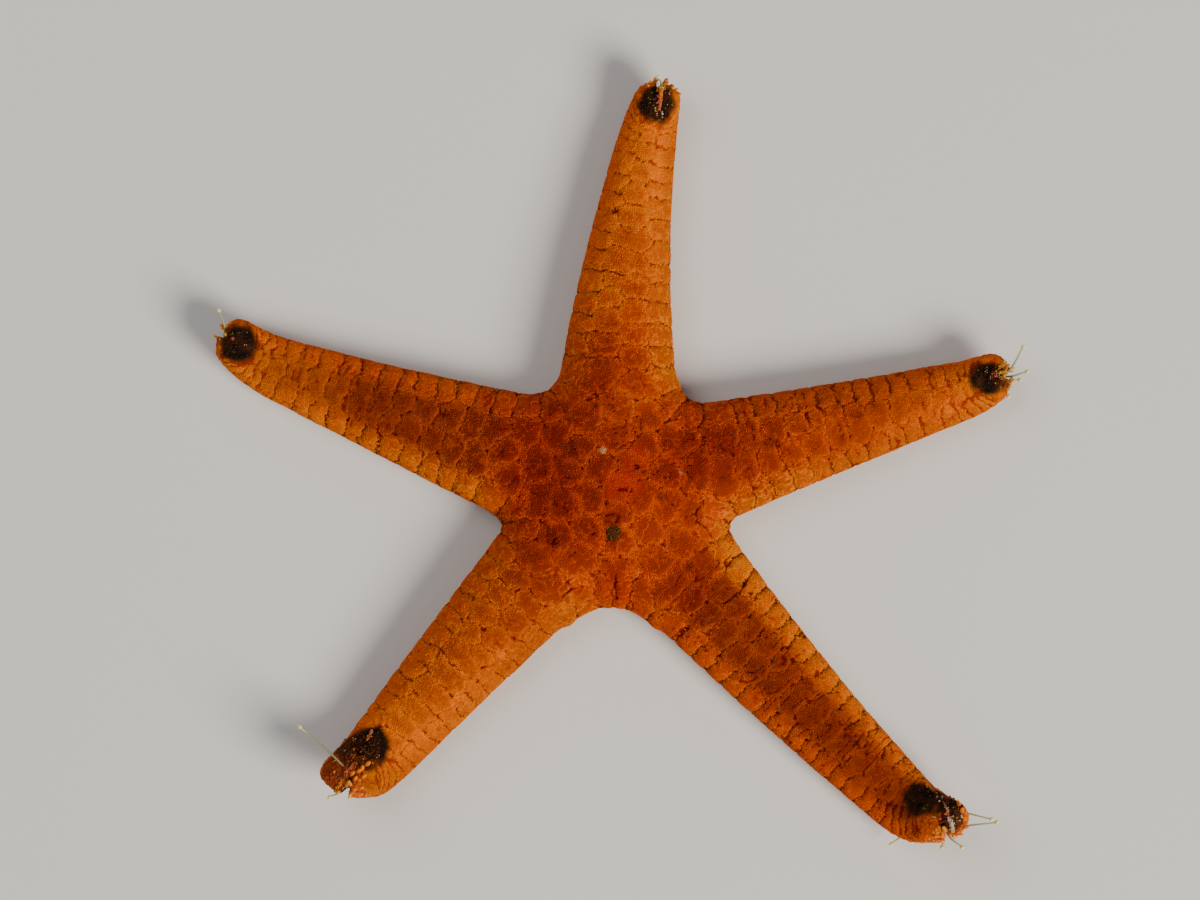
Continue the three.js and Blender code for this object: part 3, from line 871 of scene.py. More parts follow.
# Points spread evenly over the skin, with their normals.
def scatter(weights, spacing, seed):
    cloth = makeObject("scatterBase", skinPoints / mm, [skinQuads])
    layer = cloth.data.attributes.new("weight", "FLOAT", "POINT")
    layer.data.foreach_set("value", weights.astype(np.float32))
    tree = bpy.data.node_groups.new("scatter", "GeometryNodeTree")
    for way in ("INPUT", "OUTPUT"):
        tree.interface.new_socket("Geometry", in_out=way, socket_type="NodeSocketGeometry")
    source = addNode(tree, "NodeGroupInput")
    density = granules["density"] / spacing ** 2
    spreading = {"Distance Min": spacing, "Density Max": density, "Seed": seed}
    spread = addNode(tree, "GeometryNodeDistributePointsOnFaces", spreading, distribute_method="POISSON")
    weight = addNode(tree, "GeometryNodeInputNamedAttribute", {"Name": "weight"}, data_type="FLOAT")
    keep = addNode(tree, "GeometryNodeStoreNamedAttribute", {"Name": "rootNormal"}, data_type="FLOAT_VECTOR")
    solid = addNode(tree, "GeometryNodePointsToVertices")
    target = addNode(tree, "NodeGroupOutput")
    linkNodes(tree, (source, 0, spread, "Mesh"), (weight, "Attribute", spread, "Density Factor"),
              (spread, "Points", keep, "Geometry"), (spread, "Normal", keep, "Value"),
              (keep, "Geometry", solid, "Points"), (solid, "Mesh", target, 0))
    cloth.modifiers.new("scatter", "NODES").node_group = tree
    mesh = cloth.evaluated_get(bpy.context.evaluated_depsgraph_get()).data
    roots = readMesh(mesh)
    normals = np.zeros(len(roots) * 3, np.float32)
    mesh.attributes["rootNormal"].data.foreach_get("vector", normals)
    bpy.data.objects.remove(cloth)
    bpy.data.node_groups.remove(tree)
    return roots, unit(normals.reshape(-1, 3).astype(float))


def domeShape(sides):
    rings = [ringAt(circle(sides), radius, radius, height)
             for radius, height in (granules["low"], granules["high"])]
    here = np.arange(sides)
    step = np.roll(here, -1)
    side = np.stack([here, step, step + sides, here + sides], 1)
    top = np.stack([here + sides, step + sides, np.full(sides, 2 * sides)], 1)
    return np.vstack([*rings, [[0, 0, 1.0]]]), side, top


# Many copies of one small shape, each on its root, with its own size, spin and colour.
def copies(name, shape, roots, normals, radius, height, tints, uv=None):
    points, side, top = shape
    count, size = len(roots), len(points)
    spin = random.uniform(0, 2 * math.pi, count)
    helper = np.where(np.abs(normals[:, 2:3]) < 0.9, [[0, 0, 1.0]], [[1.0, 0, 0]])
    first = unit(np.cross(helper, normals))
    second = np.cross(normals, first)
    x = first * np.cos(spin)[:, None] + second * np.sin(spin)[:, None]
    y = np.cross(normals, x)
    radius, height = (np.broadcast_to(value, count)[:, None, None] for value in (radius, height))
    around = points[None, :, 0:1] * x[:, None] + points[None, :, 1:2] * y[:, None]
    placed = roots[:, None] + radius * around + height * points[None, :, 2:3] * normals[:, None]
    start = (np.arange(count) * size)[:, None, None]
    groups = [(side[None] + start).reshape(-1, 4), (top[None] + start).reshape(-1, 3)]
    thing = makeObject(name, placed.reshape(-1, 3) + discCentre, groups)
    paint(thing, np.repeat(tints, size, 0))
    if uv is not None:
        layer = thing.data.uv_layers.new(name="OFBake")
        spots = np.repeat(uv, size, 0) + np.tile(points[:, :2] * granules["mapHalf"], (count, 1))
        corners = np.concatenate([group.ravel() for group in groups])
        layer.data.foreach_set("uv", np.clip(spots[corners], 0, 1).astype(np.float32).ravel())
    return thing


# Each granule's place on the map: the disc is unrolled from its middle, and an arm lies along the map.
def mapPlaces(which, region, roots, places):
    if region == "disc":
        drop = body["discHeight"] - roots[:, 2] if which == "upper" else roots[:, 2]
        way = np.linalg.norm(roots[:, :2], axis=1) + np.maximum(drop, 0)
        return 0.5 + unit(roots[:, :2]) * way[:, None] / granules["mapDisc"]
    around = np.where(places["left"] < 0, -1, 1) * places["round"]
    return np.c_[0.02 + 0.96 * places["station"] / places["length"], 0.5 + 0.48 * around]


def granuleCoat(which, weights, seed):
    setup = granules[which]
    roots, normals = scatter(weights, setup["spacing"], seed)
    places, near = armPlaces(roots), plateField(roots)
    keep = crackAt(roots, places, near) < granules["darkest"]
    roots, normals = roots[keep], normals[keep]
    places, near = ({key: value[keep] for key, value in table.items()} for table in (places, near))
    tints = markingAt(roots, places, near) * random.uniform(*granules["tint"], (len(roots), 1))
    smooth = np.maximum(near["bald"], smoothStep(places["station"] / places["length"], 0.45, 0.8))
    onDisc = np.linalg.norm(roots[:, :2], axis=1) < granules["discRadius"]
    regions = {"disc": onDisc}
    regions.update({name: ~onDisc & (places["arm"] == i) for i, name in enumerate(armNames)})
    made = []
    for region, chosen in regions.items():
        size = random.uniform(*granules["size"], chosen.sum())
        height = setup["height"] * size * mix(1, granules["baldHeight"], smooth[chosen])
        made.append(copies(f"granules_{which}_{region}", domeShape(granules["sides"]), roots[chosen],
                           normals[chosen], setup["radius"] * size, height, np.clip(tints[chosen], 0, 1),
                           mapPlaces(which, region, roots, places)[chosen]))
    print("granules", which, len(roots))
    return made


inFurrow = (np.abs(skin["left"]) < furrowHalf * 1.15) & (skin["round"] > 0.8)
inMouth = (np.linalg.norm(skinPoints[:, :2], axis=1) < 2.6) & (skinPoints[:, 2] < 3)
bare = inFurrow | inMouth
isUpper = skin["round"] < 0.58
coat = granuleCoat("upper", isUpper & ~bare, 3)
coat += granuleCoat("lower", ~isUpper & ~bare, 5)


# A round rod along a line, closed at both ends.
def rod(line, radii, sides=6):
    line, radii = np.asarray(line, float), np.asarray(radii, float)
    ahead = unit(np.gradient(line, axis=0))
    helper = np.array([0, 0, 1.0]) if abs(ahead[0, 2]) < 0.8 else np.array([1.0, 0, 0])
    first = unit(np.cross(ahead, helper))
    second = np.cross(ahead, first)
    turn = circle(sides)
    rings = [line[i] + radii[i] * (np.cos(turn)[:, None] * first[i] + np.sin(turn)[:, None] * second[i])
             for i in range(len(line))]
    return loft(rings)


# A run of colours read at places along it, from 0 to the number of the last colour.
def alongColours(run, share):
    run = np.asarray(run)
    return np.stack([np.interp(share, np.arange(len(run)), run[:, i]) for i in range(3)], -1)


# Rods of any count joined into one piece, each with one colour or a run of colours along it.
def joinRods(name, rods):
    points, faces = joinParts([shape for shape, tint in rods])
    shown = []
    for shape, tint in rods:
        tint = np.atleast_2d(tint)
        sides = len(shape[1][1][0])
        rings = len(shape[1][0]) // sides + 1
        shown.append(alongColours(tint, np.repeat(np.linspace(0, len(tint) - 1, rings), sides)))
    bySize = {}
    for group in faces:
        bySize.setdefault(group.shape[1], []).append(group)
    thing = makeObject(name, points + discCentre, [np.vstack(groups) for groups in bySize.values()])
    paint(thing, np.vstack(shown))
    return thing


def onTop(x, y):
    best = topIndex(x, y, 0.2)
    return skinPoints[best], skinNormals[best]


spines = {
    "start": 3.2,
    "pitch": 0.42,
    "radius": 0.13,
    "length": 0.55,
    "beside": 0.28,      # how far they stand from the furrow's edge
    "up": 0.32,
    "lowestTip": 0.13,
    "colour": ((0.85, 0.26, 0.02), (0.95, 0.5, 0.12)),
}


# Blunt spines on both edges of each furrow. Below they lie over the furrow, and on the curled end
# they stand out like teeth.
def furrowSpines(name):
    path, arm = paths[name], arms[name]
    rods, station = [], spines["start"]
    while station < arm["length"] - 0.9:
        at = framesAt(path, station)
        share = station / arm["length"]
        beside = furrowAt(share)[0] + spines["beside"]
        standing = float(smoothStep(station, arm["length"] - arm["curlRun"] * 0.75, arm["length"] - 2))
        for side in (-1, 1):
            rise = spines["up"] + 0.05 * random.normal()
            root = placeOn(at, side * beside, rise)
            aim = -side * at["left"] * mix(0.95, 0.35, standing) - at["up"] * mix(0.12, 0.9, standing)
            aim = unit(aim + at["ahead"] * random.normal(0.1, 0.15))
            tip = root + aim * (spines["length"] * random.uniform(0.85, 1.15) * mix(1, 0.6, standing))
            tip[2] = max(tip[2], spines["lowestTip"])
            middle = mix(root, tip, 0.55) - at["up"] * 0.03
            radii = spines["radius"] * mix(1, 0.85, share) * np.array([1, 1, 0.8, 0.35])
            rods.append((rod([root, middle, mix(middle, tip, 0.8), tip], radii), spines["colour"]))
        station += spines["pitch"] * random.uniform(0.92, 1.08)
    return joinRods(f"furrowSpines_{name}", rods)


feet = {
    "start": 2.8,
    "pitch": 1.0,
    "radius": 0.2,
    "sucker": 0.28,
    "endLevel": 0.12,
    "colour": ((0.7, 0.4, 0.12), (0.85, 0.62, 0.25), (0.9, 0.75, 0.45)),
}


# Two rows of tube feet in each furrow.
def tubeFeet(name):
    path, arm = paths[name], arms[name]
    rods = []
    for side in (-1, 1):
        station = feet["start"] + 0.25 * (side + 1)
        while station < arm["length"] - arm["curlRun"] * 0.55:
            at = framesAt(path, station)
            share = station / arm["length"]
            half, depth = furrowAt(share)
            root = placeOn(at, side * half * 0.35, depth)
            tip = placeOn(at, side * half * random.uniform(0.35, 0.75), feet["endLevel"])
            tip = tip + at["ahead"] * random.normal(0, 0.18)
            bend = mix(root, tip, 0.5) + at["left"] * side * 0.12
            thick, wide = feet["radius"] * mix(1, 0.5, share), feet["sucker"] * mix(1, 0.5, share)
            end = unit(tip - bend) * 0.1
            line = [root, bend, tip - end, tip, tip + end * 0.6]
            radii = [thick, thick * 0.85, thick * 0.8, wide, wide * 0.7]
            rods.append((rod(line, radii, 8), feet["colour"]))
            station += feet["pitch"] * mix(1, 0.62, share)
    return joinRods(f"tubeFeet_{name}", rods)


# Feelers past the arm ends, as in the frame: root back from the end and up from the underside line,
# bearing, rise and length.
feelers = {
    "a": ((1.2, 1, 92, 62, 2.2),),
    "b": ((1.2, 1, 101, 25, 2.8),),
    "c": ((1, 2.1, 136, 5, 6.8), (3, 1, 215, -10, 2.2)),
    "d": ((2, 1, 11, -4, 5.1), (2, 3.2, -9, 6, 5.4), (4, 1, 270, -10, 1.9), (2.5, 1, 312, -5, 2.4),
          (8.5, 0.7, 222, -2, 4.1)),
    "e": ((1.2, 1, 55, 12, 3.5), (2, 1, 8, 10, 2.7), (2.5, 0.8, -12, -25, 2.2), (3, 0.8, -58, -10, 2.2)),
}
feelerLook = {
    "shaft": 0.085,
    "knob": 0.22,
    "wave": 0.12,
    "colour": ((0.3, 0.2, 0.06), (0.22, 0.25, 0.12), (0.26, 0.3, 0.16), (0.7, 0.6, 0.2), (0.9, 0.8, 0.4)),
}


def feelerPiece(name, number):
    back, up, bearing, rise, length = feelers[name][number]
    knob = feelerLook["knob"]
    at = framesAt(paths[name], arms[name]["length"] - back)
    root = placeOn(at, 0, up)
    aim = planar(bearing) * math.cos(math.radians(rise)) + [0, 0, math.sin(math.radians(rise))]
    side = unit(np.cross(aim, [0, 0, 1.0]))
    wave = feelerLook["wave"] * random.choice([-1, 1])
    line, radii = [], []
    for share in np.linspace(0, 1, 9):
        swing = side * wave * math.sin(share * math.pi * 1.3)
        line.append(root + aim * (length - 2 * knob) * share + swing)
        radii.append(feelerLook["shaft"] * mix(1.35, 0.85, share))
    centre = line[-1] + aim * knob
    for turn in np.radians([35, 65, 95, 130, 160]):
        line.append(centre - aim * knob * math.cos(turn))
        radii.append(knob * math.sin(turn))
    return joinRods(f"feeler_{name}_{number + 1}_fine", [(rod(line, radii, 10), feelerLook["colour"])])


tints = {
    "pink": (0.55, 0.13, 0.05),
    "flesh": (0.55, 0.25, 0.15),
    "yellow": (0.5, 0.24, 0.03),
    # The green tint is used only for painted glints. The white one is a painted glint where the arm ends note
    # it, and is the thing's own pale colour elsewhere.
    "green": (0.13, 0.13, 0.03),
    "white": (0.6, 0.5, 0.4),
    "orange": (0.75, 0.18, 0.01),
    "brown": (0.16, 0.035, 0.01),
}
# What shows at each arm end, from above. Teeth: the ends of their row, how many, radius and colour.
# Strips along the furrow's end: their line, width and colours. Specks: place, radius and colour. The green
# specks, and the white and yellow ones noted below, are beads coloured as painted glints.
armEnds = {
    "a": dict(
        teeth=(((4.9, 38.6), (5.9, 37.8), 5, 0.15, "orange"), ((3.0, 38.4), (3.6, 38.9), 3, 0.14, "orange")),
        strips=((((4.1, 35.9), (4.15, 36.9), (4.2, 37.8), (4.35, 38.5), (4.6, 39.0)), 0.27,
                 ("pink", "pink", "orange", "yellow", "yellow")),),
        # At a, the yellow specks at (3.1, 36.8) and (4.9, 36.5) are painted glints, as are the green ones.
        specks=((3.6, 35.9, 0.17, "flesh"), (3.8, 35.5, 0.15, "flesh"), (4.4, 35.7, 0.18, "white"),
                (4.3, 35.4, 0.13, "flesh"), (4.05, 34.9, 0.14, "green"), (2.9, 37.2, 0.13, "green"),
                (3.1, 36.8, 0.1, "yellow"), (3.6, 37.0, 0.12, "green"), (4.9, 36.5, 0.12, "yellow"),
                (5.35, 36.6, 0.13, "green"), (5.5, 36.2, 0.12, "green"), (5.1, 37.7, 0.13, "flesh"))),
    "b": dict(
        teeth=(((-37.5, 15.2), (-36.9, 15.8), 3, 0.13, "orange"),),
        strips=(),
        # At b, the white speck is a painted glint, and the green ones are a painted glow beside it.
        specks=((-35.15, 13.8, 0.1, "white"), (-36.5, 14.9, 0.12, "green"), (-35.8, 15.0, 0.12, "green"),
                (-37.1, 14.7, 0.17, "brown"))),
    "c": dict(
        teeth=(((-24.9, -27.0), (-23.6, -26.1), 4, 0.2, "orange"),
               ((-25.3, -27.9), (-23.9, -27.2), 4, 0.2, "orange"),
               ((-25.4, -28.8), (-24.2, -28.3), 3, 0.18, "orange")),
        strips=((((-24.7, -25.8), (-25.2, -26.4), (-25.7, -26.9), (-26.2, -27.9), (-26.7, -28.8)), 0.26,
                 ("brown", "pink", "brown", "orange", "yellow")),
                (((-23.3, -22.8), (-23.4, -23.2), (-23.6, -23.7)), 0.16, ("flesh", "pink", "pink"))),
        specks=((-24.8, -24.6, 0.17, "orange"), (-25.0, -25.3, 0.16, "orange"),
                (-24.2, -24.7, 0.15, "yellow"),
                (-25.8, -24.7, 0.12, "white"), (-25.0, -23.7, 0.15, "yellow"), (-22.6, -25.3, 0.14, "orange"),
                (-23.8, -25.4, 0.14, "orange"), (-26.6, -25.6, 0.13, "flesh"), (-25.9, -23.6, 0.14, "green"),
                (-24.4, -25.9, 0.15, "orange"), (-26.8, -26.5, 0.2, "orange"),
                (-23.2, -25.9, 0.14, "orange"))),
    "d": dict(
        teeth=(((32.4, -29.6), (33.2, -32.2), 8, 0.17, "orange"),
               ((30.2, -33.0), (32.6, -32.8), 6, 0.17, "orange")),
        strips=((((29.4, -28.0), (29.9, -28.4), (30.3, -28.8)), 0.2, ("orange", "pink", "brown")),
                (((30.9, -29.5), (31.2, -30.2), (31.4, -30.8)), 0.12, ("brown", "flesh", "pink")),
                (((31.4, -30.9), (31.7, -31.8), (31.9, -32.6)), 0.32, ("flesh", "white", "yellow"))),
        # At d, the white speck at (29.9, -30.9) is a painted glint, as are the green ones.
        specks=((29.9, -30.9, 0.13, "white"), (32.2, -28.4, 0.14, "green"), (30.2, -28.6, 0.16, "orange"),
                (31.9, -30.9, 0.16, "flesh"), (31.5, -31.2, 0.17, "white"), (32.5, -30.2, 0.15, "green"),
                (30.7, -31.4, 0.15, "brown"), (31.2, -28.0, 0.14, "green"), (30.6, -29.2, 0.2, "flesh"),
                (32.3, -31.3, 0.2, "green"), (32.6, -31.0, 0.18, "white"), (31.1, -30.6, 0.2, "pink"),
                (32.1, -32.0, 0.2, "brown"), (29.2, -30.1, 0.15, "green"), (31.9, -29.2, 0.18, "brown"))),
    "e": dict(
        teeth=(((36.9, 12.1), (37.9, 11.2), 5, 0.15, "yellow"),
               ((37.2, 9.5), (37.8, 10.3), 4, 0.14, "yellow")),
        strips=((((35.6, 11.0), (36.3, 11.0), (37.0, 11.1), (37.7, 11.1)), 0.14,
                 ("flesh", "yellow", "yellow", "yellow")),
                (((36.4, 10.7), (37.0, 10.3), (37.5, 9.9)), 0.13, ("yellow", "brown", "yellow")),
                (((36.3, 11.5), (36.8, 11.9), (37.1, 12.0)), 0.13, ("yellow", "yellow", "flesh"))),
        specks=((35.1, 11.3, 0.12, "flesh"), (35.9, 11.6, 0.13, "yellow"), (35.4, 10.6, 0.12, "flesh"),
                (36.0, 10.1, 0.14, "yellow"), (36.6, 9.7, 0.14, "yellow"), (37.2, 10.6, 0.15, "brown"),
                (36.7, 10.6, 0.15, "brown"), (36.2, 9.5, 0.13, "brown"), (37.3, 11.7, 0.15, "flesh"))),
}


# A small blunt bead on the skin, lighter at its end.
def bead(spot, normal, radius, tint, stretch=1.0):
    lean = unit(normal + random.normal(0, 0.3, 3))
    line = [spot - lean * radius * 0.5]
    line += [spot + lean * radius * share * stretch for share in (0.6, 1.1, 1.4)]
    return rod(line, np.array([1, 1, 0.72, 0.25]) * radius), [tint, np.minimum(np.array(tint) * 1.2, 1)]


# A soft tongue fills the end of the furrow and shows in the notch at the arm's end.
furrowTongue = {"run": 6.0, "wide": 1.15, "fill": 0.85, "folds": 34.0, "foldDepth": 0.1}


def tongueRod(name):
    arm, path = arms[name], paths[name]
    line, radii = [], []
    for share in np.linspace(0, 1, 30):
        station = arm["length"] - furrowTongue["run"] * (1 - share)
        at = framesAt(path, station)
        half, depth = furrowAt(station / arm["length"])
        half = half * furrowTongue["wide"]
        fold = 1 + furrowTongue["foldDepth"] * math.sin(share * furrowTongue["folds"])
        ending = math.sin(min(1, (1 - share) * 4 + 0.12) * math.pi / 2)
        level = (depth - half * 0.7) * mix(1, 0.85, share)
        line.append(placeOn(at, 0, level) - at["ahead"] * 0.1)
        radii.append(half * furrowTongue["fill"] * fold * ending * min(1, share * 5 + 0.2))
    return rod(line, radii, 12), [tints["brown"], tints["brown"], tints["pink"], tints["yellow"]]


def shaded(tint, least, most):
    return np.array(tint) * random.uniform(least, most)


def teethBeads(name, start, end, count, radius, tint):
    beads = []
    inner = framesAt(paths[name], arms[name]["length"] - 2)["origin"] * [1, 1, 0]
    for share in np.linspace(0, 1, count):
        x, y = mix(np.array(start), np.array(end), share) + random.normal(0, 0.05, 2)
        spot, normal = onTop(x, y)
        outward = unit(normal + unit(np.array([x, y, 0]) - inner) * 0.8)
        shade = shaded(tints[tint], 0.75, 1.1)
        beads.append(bead(spot, outward, radius * random.uniform(0.8, 1.1), shade, 1.8))
    return beads


# A strip is a low ridge along its line, with beads scattered over it.
strips = {"steps": 16, "sunk": 0.35, "ridge": 0.75, "shade": 0.8, "beads": 120, "beadRadius": (0.05, 0.09)}


def stripBeads(line, width, names):
    line, shades = np.array(line), np.array([tints[tint] for tint in names])
    way = np.concatenate([[0], np.cumsum(np.linalg.norm(np.diff(line, axis=0), axis=1))])

    def placeAt(run):
        return np.array([np.interp(run, way, line[:, axis]) for axis in range(2)])

    ridge = []
    for run in np.linspace(0, way[-1], strips["steps"]):
        x, y = placeAt(run)
        spot, normal = onTop(x, y)
        ridge.append(np.array([x, y, spot[2]]) - normal * width * strips["sunk"])
    ridge = np.array(ridge)
    ridge[1:-1] = (ridge[:-2] + ridge[1:-1] * 2 + ridge[2:]) / 4
    radii = width * strips["ridge"] * np.sin(np.linspace(0.5, 2.7, strips["steps"]))
    beads = [(rod(ridge, radii, 10), shades * strips["shade"])]
    for i in range(int(way[-1] * width * strips["beads"])):
        run = random.uniform(0, way[-1])
        spot, normal = onTop(*(placeAt(run) + random.normal(0, width * 0.35, 2)))
        tint = alongColours(shades, run / way[-1] * (len(shades) - 1))
        shade = np.clip(shaded(tint, 0.5, 1.2), 0, 1)
        radius = random.uniform(*strips["beadRadius"])
        beads.append(bead(spot + normal * width * 0.3, normal, radius, shade, 1.3))
    return beads


def speckBeads(x, y, radius, tint):
    beads = []
    for i in range(3):
        spot, normal = onTop(*(np.array([x, y]) + random.normal(0, radius * 0.7, 2)))
        shade = shaded(tints[tint], 0.6, 1.1)
        beads.append(bead(spot, normal, radius * random.uniform(0.35, 0.6), shade, 1.4))
    return beads


# Dark beads over a tip patch, with a green one here and there as a painted glint.
patchBead = {"density": 34, "radius": (0.07, 0.11), "glintShare": 0.04}


def patchBeads(patch):
    beads = []
    core = patch["radius"] - patch["soft"] * 0.4
    around = np.flatnonzero(np.linalg.norm(skinPoints - skinPoints[patch["root"]], axis=1) < core)
    for i in random.choice(around, int(patchBead["density"] * core ** 2), replace=False):
        tint = patchShade(patch, np.clip(random.uniform(0.9, 1.6) - patch["black"], 0, 1))
        if random.random() < patchBead["glintShare"]:
            tint = np.array(tints["green"]) * 0.6
        beads.append(bead(skinPoints[i], skinNormals[i], random.uniform(*patchBead["radius"]), tint))
    return beads


def armEnd(name):
    beads = [tongueRod(name)]
    for row in armEnds[name]["teeth"]:
        beads += teethBeads(name, *row)
    for strip in armEnds[name]["strips"]:
        beads += stripBeads(*strip)
    for speck in armEnds[name]["specks"]:
        beads += speckBeads(*speck)
    for patch in tipPatches[name]:
        beads += patchBeads(patch)
    return joinRods(f"armEnd_{name}", beads)


def centreOf(low, high):
    return np.array((low + high) / 2) / mm - discCentre


eyes = {"beads": 34, "turn": 2.39996, "cover": 0.85, "spread": 0.45, "back": 0.1, "beadSize": 0.065,
        "colour": (0.32, 0.016, 0.006)}


# The eyespot is a cushion of red beads in the middle of the end face.
def eyespot(name):
    low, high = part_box(f"eye_{name}")
    centre, radius = centreOf(low, high), (high - low).z / mm / 2
    at = framesAt(paths[name], arms[name]["length"])
    roots, normals = [], []
    for i in range(eyes["beads"]):
        turn, lean = i * eyes["turn"], math.acos(1 - eyes["cover"] * (i + 0.5) / eyes["beads"])
        out = at["left"] * math.sin(lean) * math.cos(turn) + at["up"] * math.sin(lean) * math.sin(turn)
        out = out + at["ahead"] * math.cos(lean)
        roots.append(centre - at["ahead"] * eyes["back"] + out * radius * eyes["spread"])
        normals.append(out)
    tint = np.array([eyes["colour"]]) * random.uniform(0.7, 1.3, (eyes["beads"], 1))
    return copies(f"eyespot_{name}", domeShape(8), np.array(roots), np.array(normals),
                  eyes["beadSize"], eyes["beadSize"], tint)


sieve = {
    "radius": (0.68, 0.88),
    "height": 0.24,
    "grooves": 11,
    "depth": 0.045,
    # Colours in the grooves (low) and on the ridges (high). The grooves are darker as painted shade.
    "low": np.array([0.02, 0.007, 0.003]),
    "high": np.array([0.13, 0.042, 0.01]),
}


# The sieve plate has grooves that run out from its middle and wander. Its colour is darker in the grooves
# than on the ridges, as painted shade.
def sievePlate():
    low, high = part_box("madreporite")
    centre = centreOf(low, high)
    top = onTop(centre[0], centre[1])[0][2]
    rings, colour = [], []
    turn = circle(96)
    for share in np.linspace(1, 0.02, 22):
        wander = turn * sieve["grooves"] + 2.2 * np.sin(3 * turn + share * 5)
        ridge = np.sin(wander) * smoothStep(share, 0.1, 0.35) * smoothStep(1.02 - share, 0, 0.12)
        uneven = share * (1 + 0.06 * np.sin(2 * turn + 1) + 0.05 * np.sin(5 * turn))
        height = top - 0.05 + sieve["height"] * math.sqrt(max(0, 1 - share ** 2)) + sieve["depth"] * ridge
        wide, deep = (radius * uneven for radius in sieve["radius"])
        rings.append(ringAt(turn, wide, deep, height) + [centre[0], centre[1], 0])
        colour.append(mix(sieve["low"], sieve["high"], (ridge * 0.5 + 0.5)[:, None]))
    points, faces = loft(rings)
    thing = makeObject("sievePlate", points + discCentre, faces)
    paint(thing, np.vstack(colour))
    return thing


jaws = {
    "inner": 0.55,
    "outer": 2.5,
    "halfWidth": 0.62,
    "level": (0.75, 0.62),
    "spines": 4,
    "spineRadii": (0.13, 0.12, 0.05),
    "spineLevel": 0.42,
    "colour": ((0.8, 0.5, 0.25), (0.75, 0.36, 0.1)),
    "spineColour": ((0.9, 0.6, 0.3), (0.95, 0.75, 0.5)),
}


# Five jaws round the mouth, each with spines along its edges.
def jawsPiece():
    rods = []
    inner, outer = jaws["inner"], jaws["outer"]
    for notch in notches:
        out, side = planar(notch["heading"]), planar(notch["heading"] + 90)
        line, radii = [], []
        for share in np.linspace(0, 1, 7):
            line.append(out * mix(inner, outer, share) + [0, 0, mix(*jaws["level"], share)])
            radii.append(jaws["halfWidth"] * math.sin(mix(0.35, 2.3, share)) * 0.8)
        rods.append((rod(line, radii, 12), jaws["colour"]))
        for edge in (-1, 1):
            for i in range(jaws["spines"]):
                share = (i + 0.5) / jaws["spines"]
                root = out * mix(inner + 0.1, outer - 0.3, share) + side * edge * 0.34
                root = root + [0, 0, jaws["spineLevel"]]
                tip = root - out * 0.35 + side * edge * mix(0.05, 0.3, share) + [0, 0, -0.18]
                rods.append((rod([root, mix(root, tip, 0.6), tip], jaws["spineRadii"]), jaws["spineColour"]))
    return joinRods("jaws", rods)


membrane = {
    "radius": 2.45,
    "level": 1.25,
    "rise": 0.35,
    "folds": 20,
    "foldDepth": 0.05,
    "opening": 0.22,
    "lip": 0.4,
    "thickness": 0.4,
    # The middle near the opening is painted dark as painted shade of the mouth's opening. The rest is the
    # membrane's own colour.
    "inside": np.array([0.1, 0.03, 0.01]),
    "outside": np.array([0.75, 0.4, 0.2]),
}


# A soft folded membrane closes the mouth above the jaws. Its middle is painted dark, as painted shade of the
# mouth's opening.
def mouthMembrane():
    turn = circle(72)
    rings, colour = [], []
    for share in np.linspace(1, 0.05, 20):
        fold = membrane["foldDepth"] * np.sin(membrane["folds"] * turn) * share
        height = membrane["level"] + membrane["rise"] * (1 - share) ** 2 + fold
        if share < membrane["opening"]:
            height = height + membrane["lip"] * (membrane["opening"] - share) / membrane["opening"]
        radius = membrane["radius"] * share
        rings.append(ringAt(turn, radius, radius, height))
        tone = mix(membrane["inside"], membrane["outside"], smoothStep(share, 0.12, 0.3))
        colour.append(np.repeat(tone[None], len(turn), 0))
    lid = [ring + [0, 0, membrane["thickness"]] for ring in rings[::-1]]
    points, faces = loft(rings + lid)
    thing = makeObject("mouthMembrane", points + discCentre, [group[:, ::-1] for group in faces])
    paint(thing, np.vstack(colour + colour[::-1]))
    return thing


print("arm ends, feet and mouth")
spinePieces = [furrowSpines(name) for name in armNames]
footPieces = [tubeFeet(name) for name in armNames]
endPieces = [armEnd(name) for name in armNames]
eyePieces = [eyespot(name) for name in armNames]
feelerPieces = {}
for name in armNames:
    for i in range(len(feelers[name])):
        feelerPieces[f"feeler_{name}_{i + 1}"] = feelerPiece(name, i)
sievePiece = sievePlate()
jawPiece, membranePiece = jawsPiece(), mouthMembrane()


# Each surface: how rough, how strong its bumps, how fine its grain and, where they differ from the
# usual, its shine and how far light passes into it.
surfaces = {
    "granularSkin": dict(roughness=0.7, bump=0.5, grain=9000),
    "skinGranules": dict(roughness=0.6, bump=0.15, grain=16000),
    "paleSpines": dict(roughness=0.45, bump=0.2, grain=12000),
    "wetSoftSkin": dict(roughness=0.25, bump=0.1, grain=8000, shine=0.5, glow=0.4),
    "redEyespot": dict(roughness=0.2, bump=0.1, grain=8000, shine=0.5),
    "groovedPlate": dict(roughness=0.7, bump=0.5, grain=9000),
}
flesh = {"shine": 0.04, "glow": 0.12, "glowRadius": (1.0, 0.35, 0.08), "glowScale": 0.0004,
         "grainRange": (0.8, 1.2), "bumpHeight": 0.00005}


def newMaterial(name, inputs):
    material = bpy.data.materials.new(name)
    material.use_nodes = True
    shader = material.node_tree.nodes["Principled BSDF"]
    for key, value in inputs.items():
        shader.inputs[key].default_value = value
    return material, material.node_tree, shader


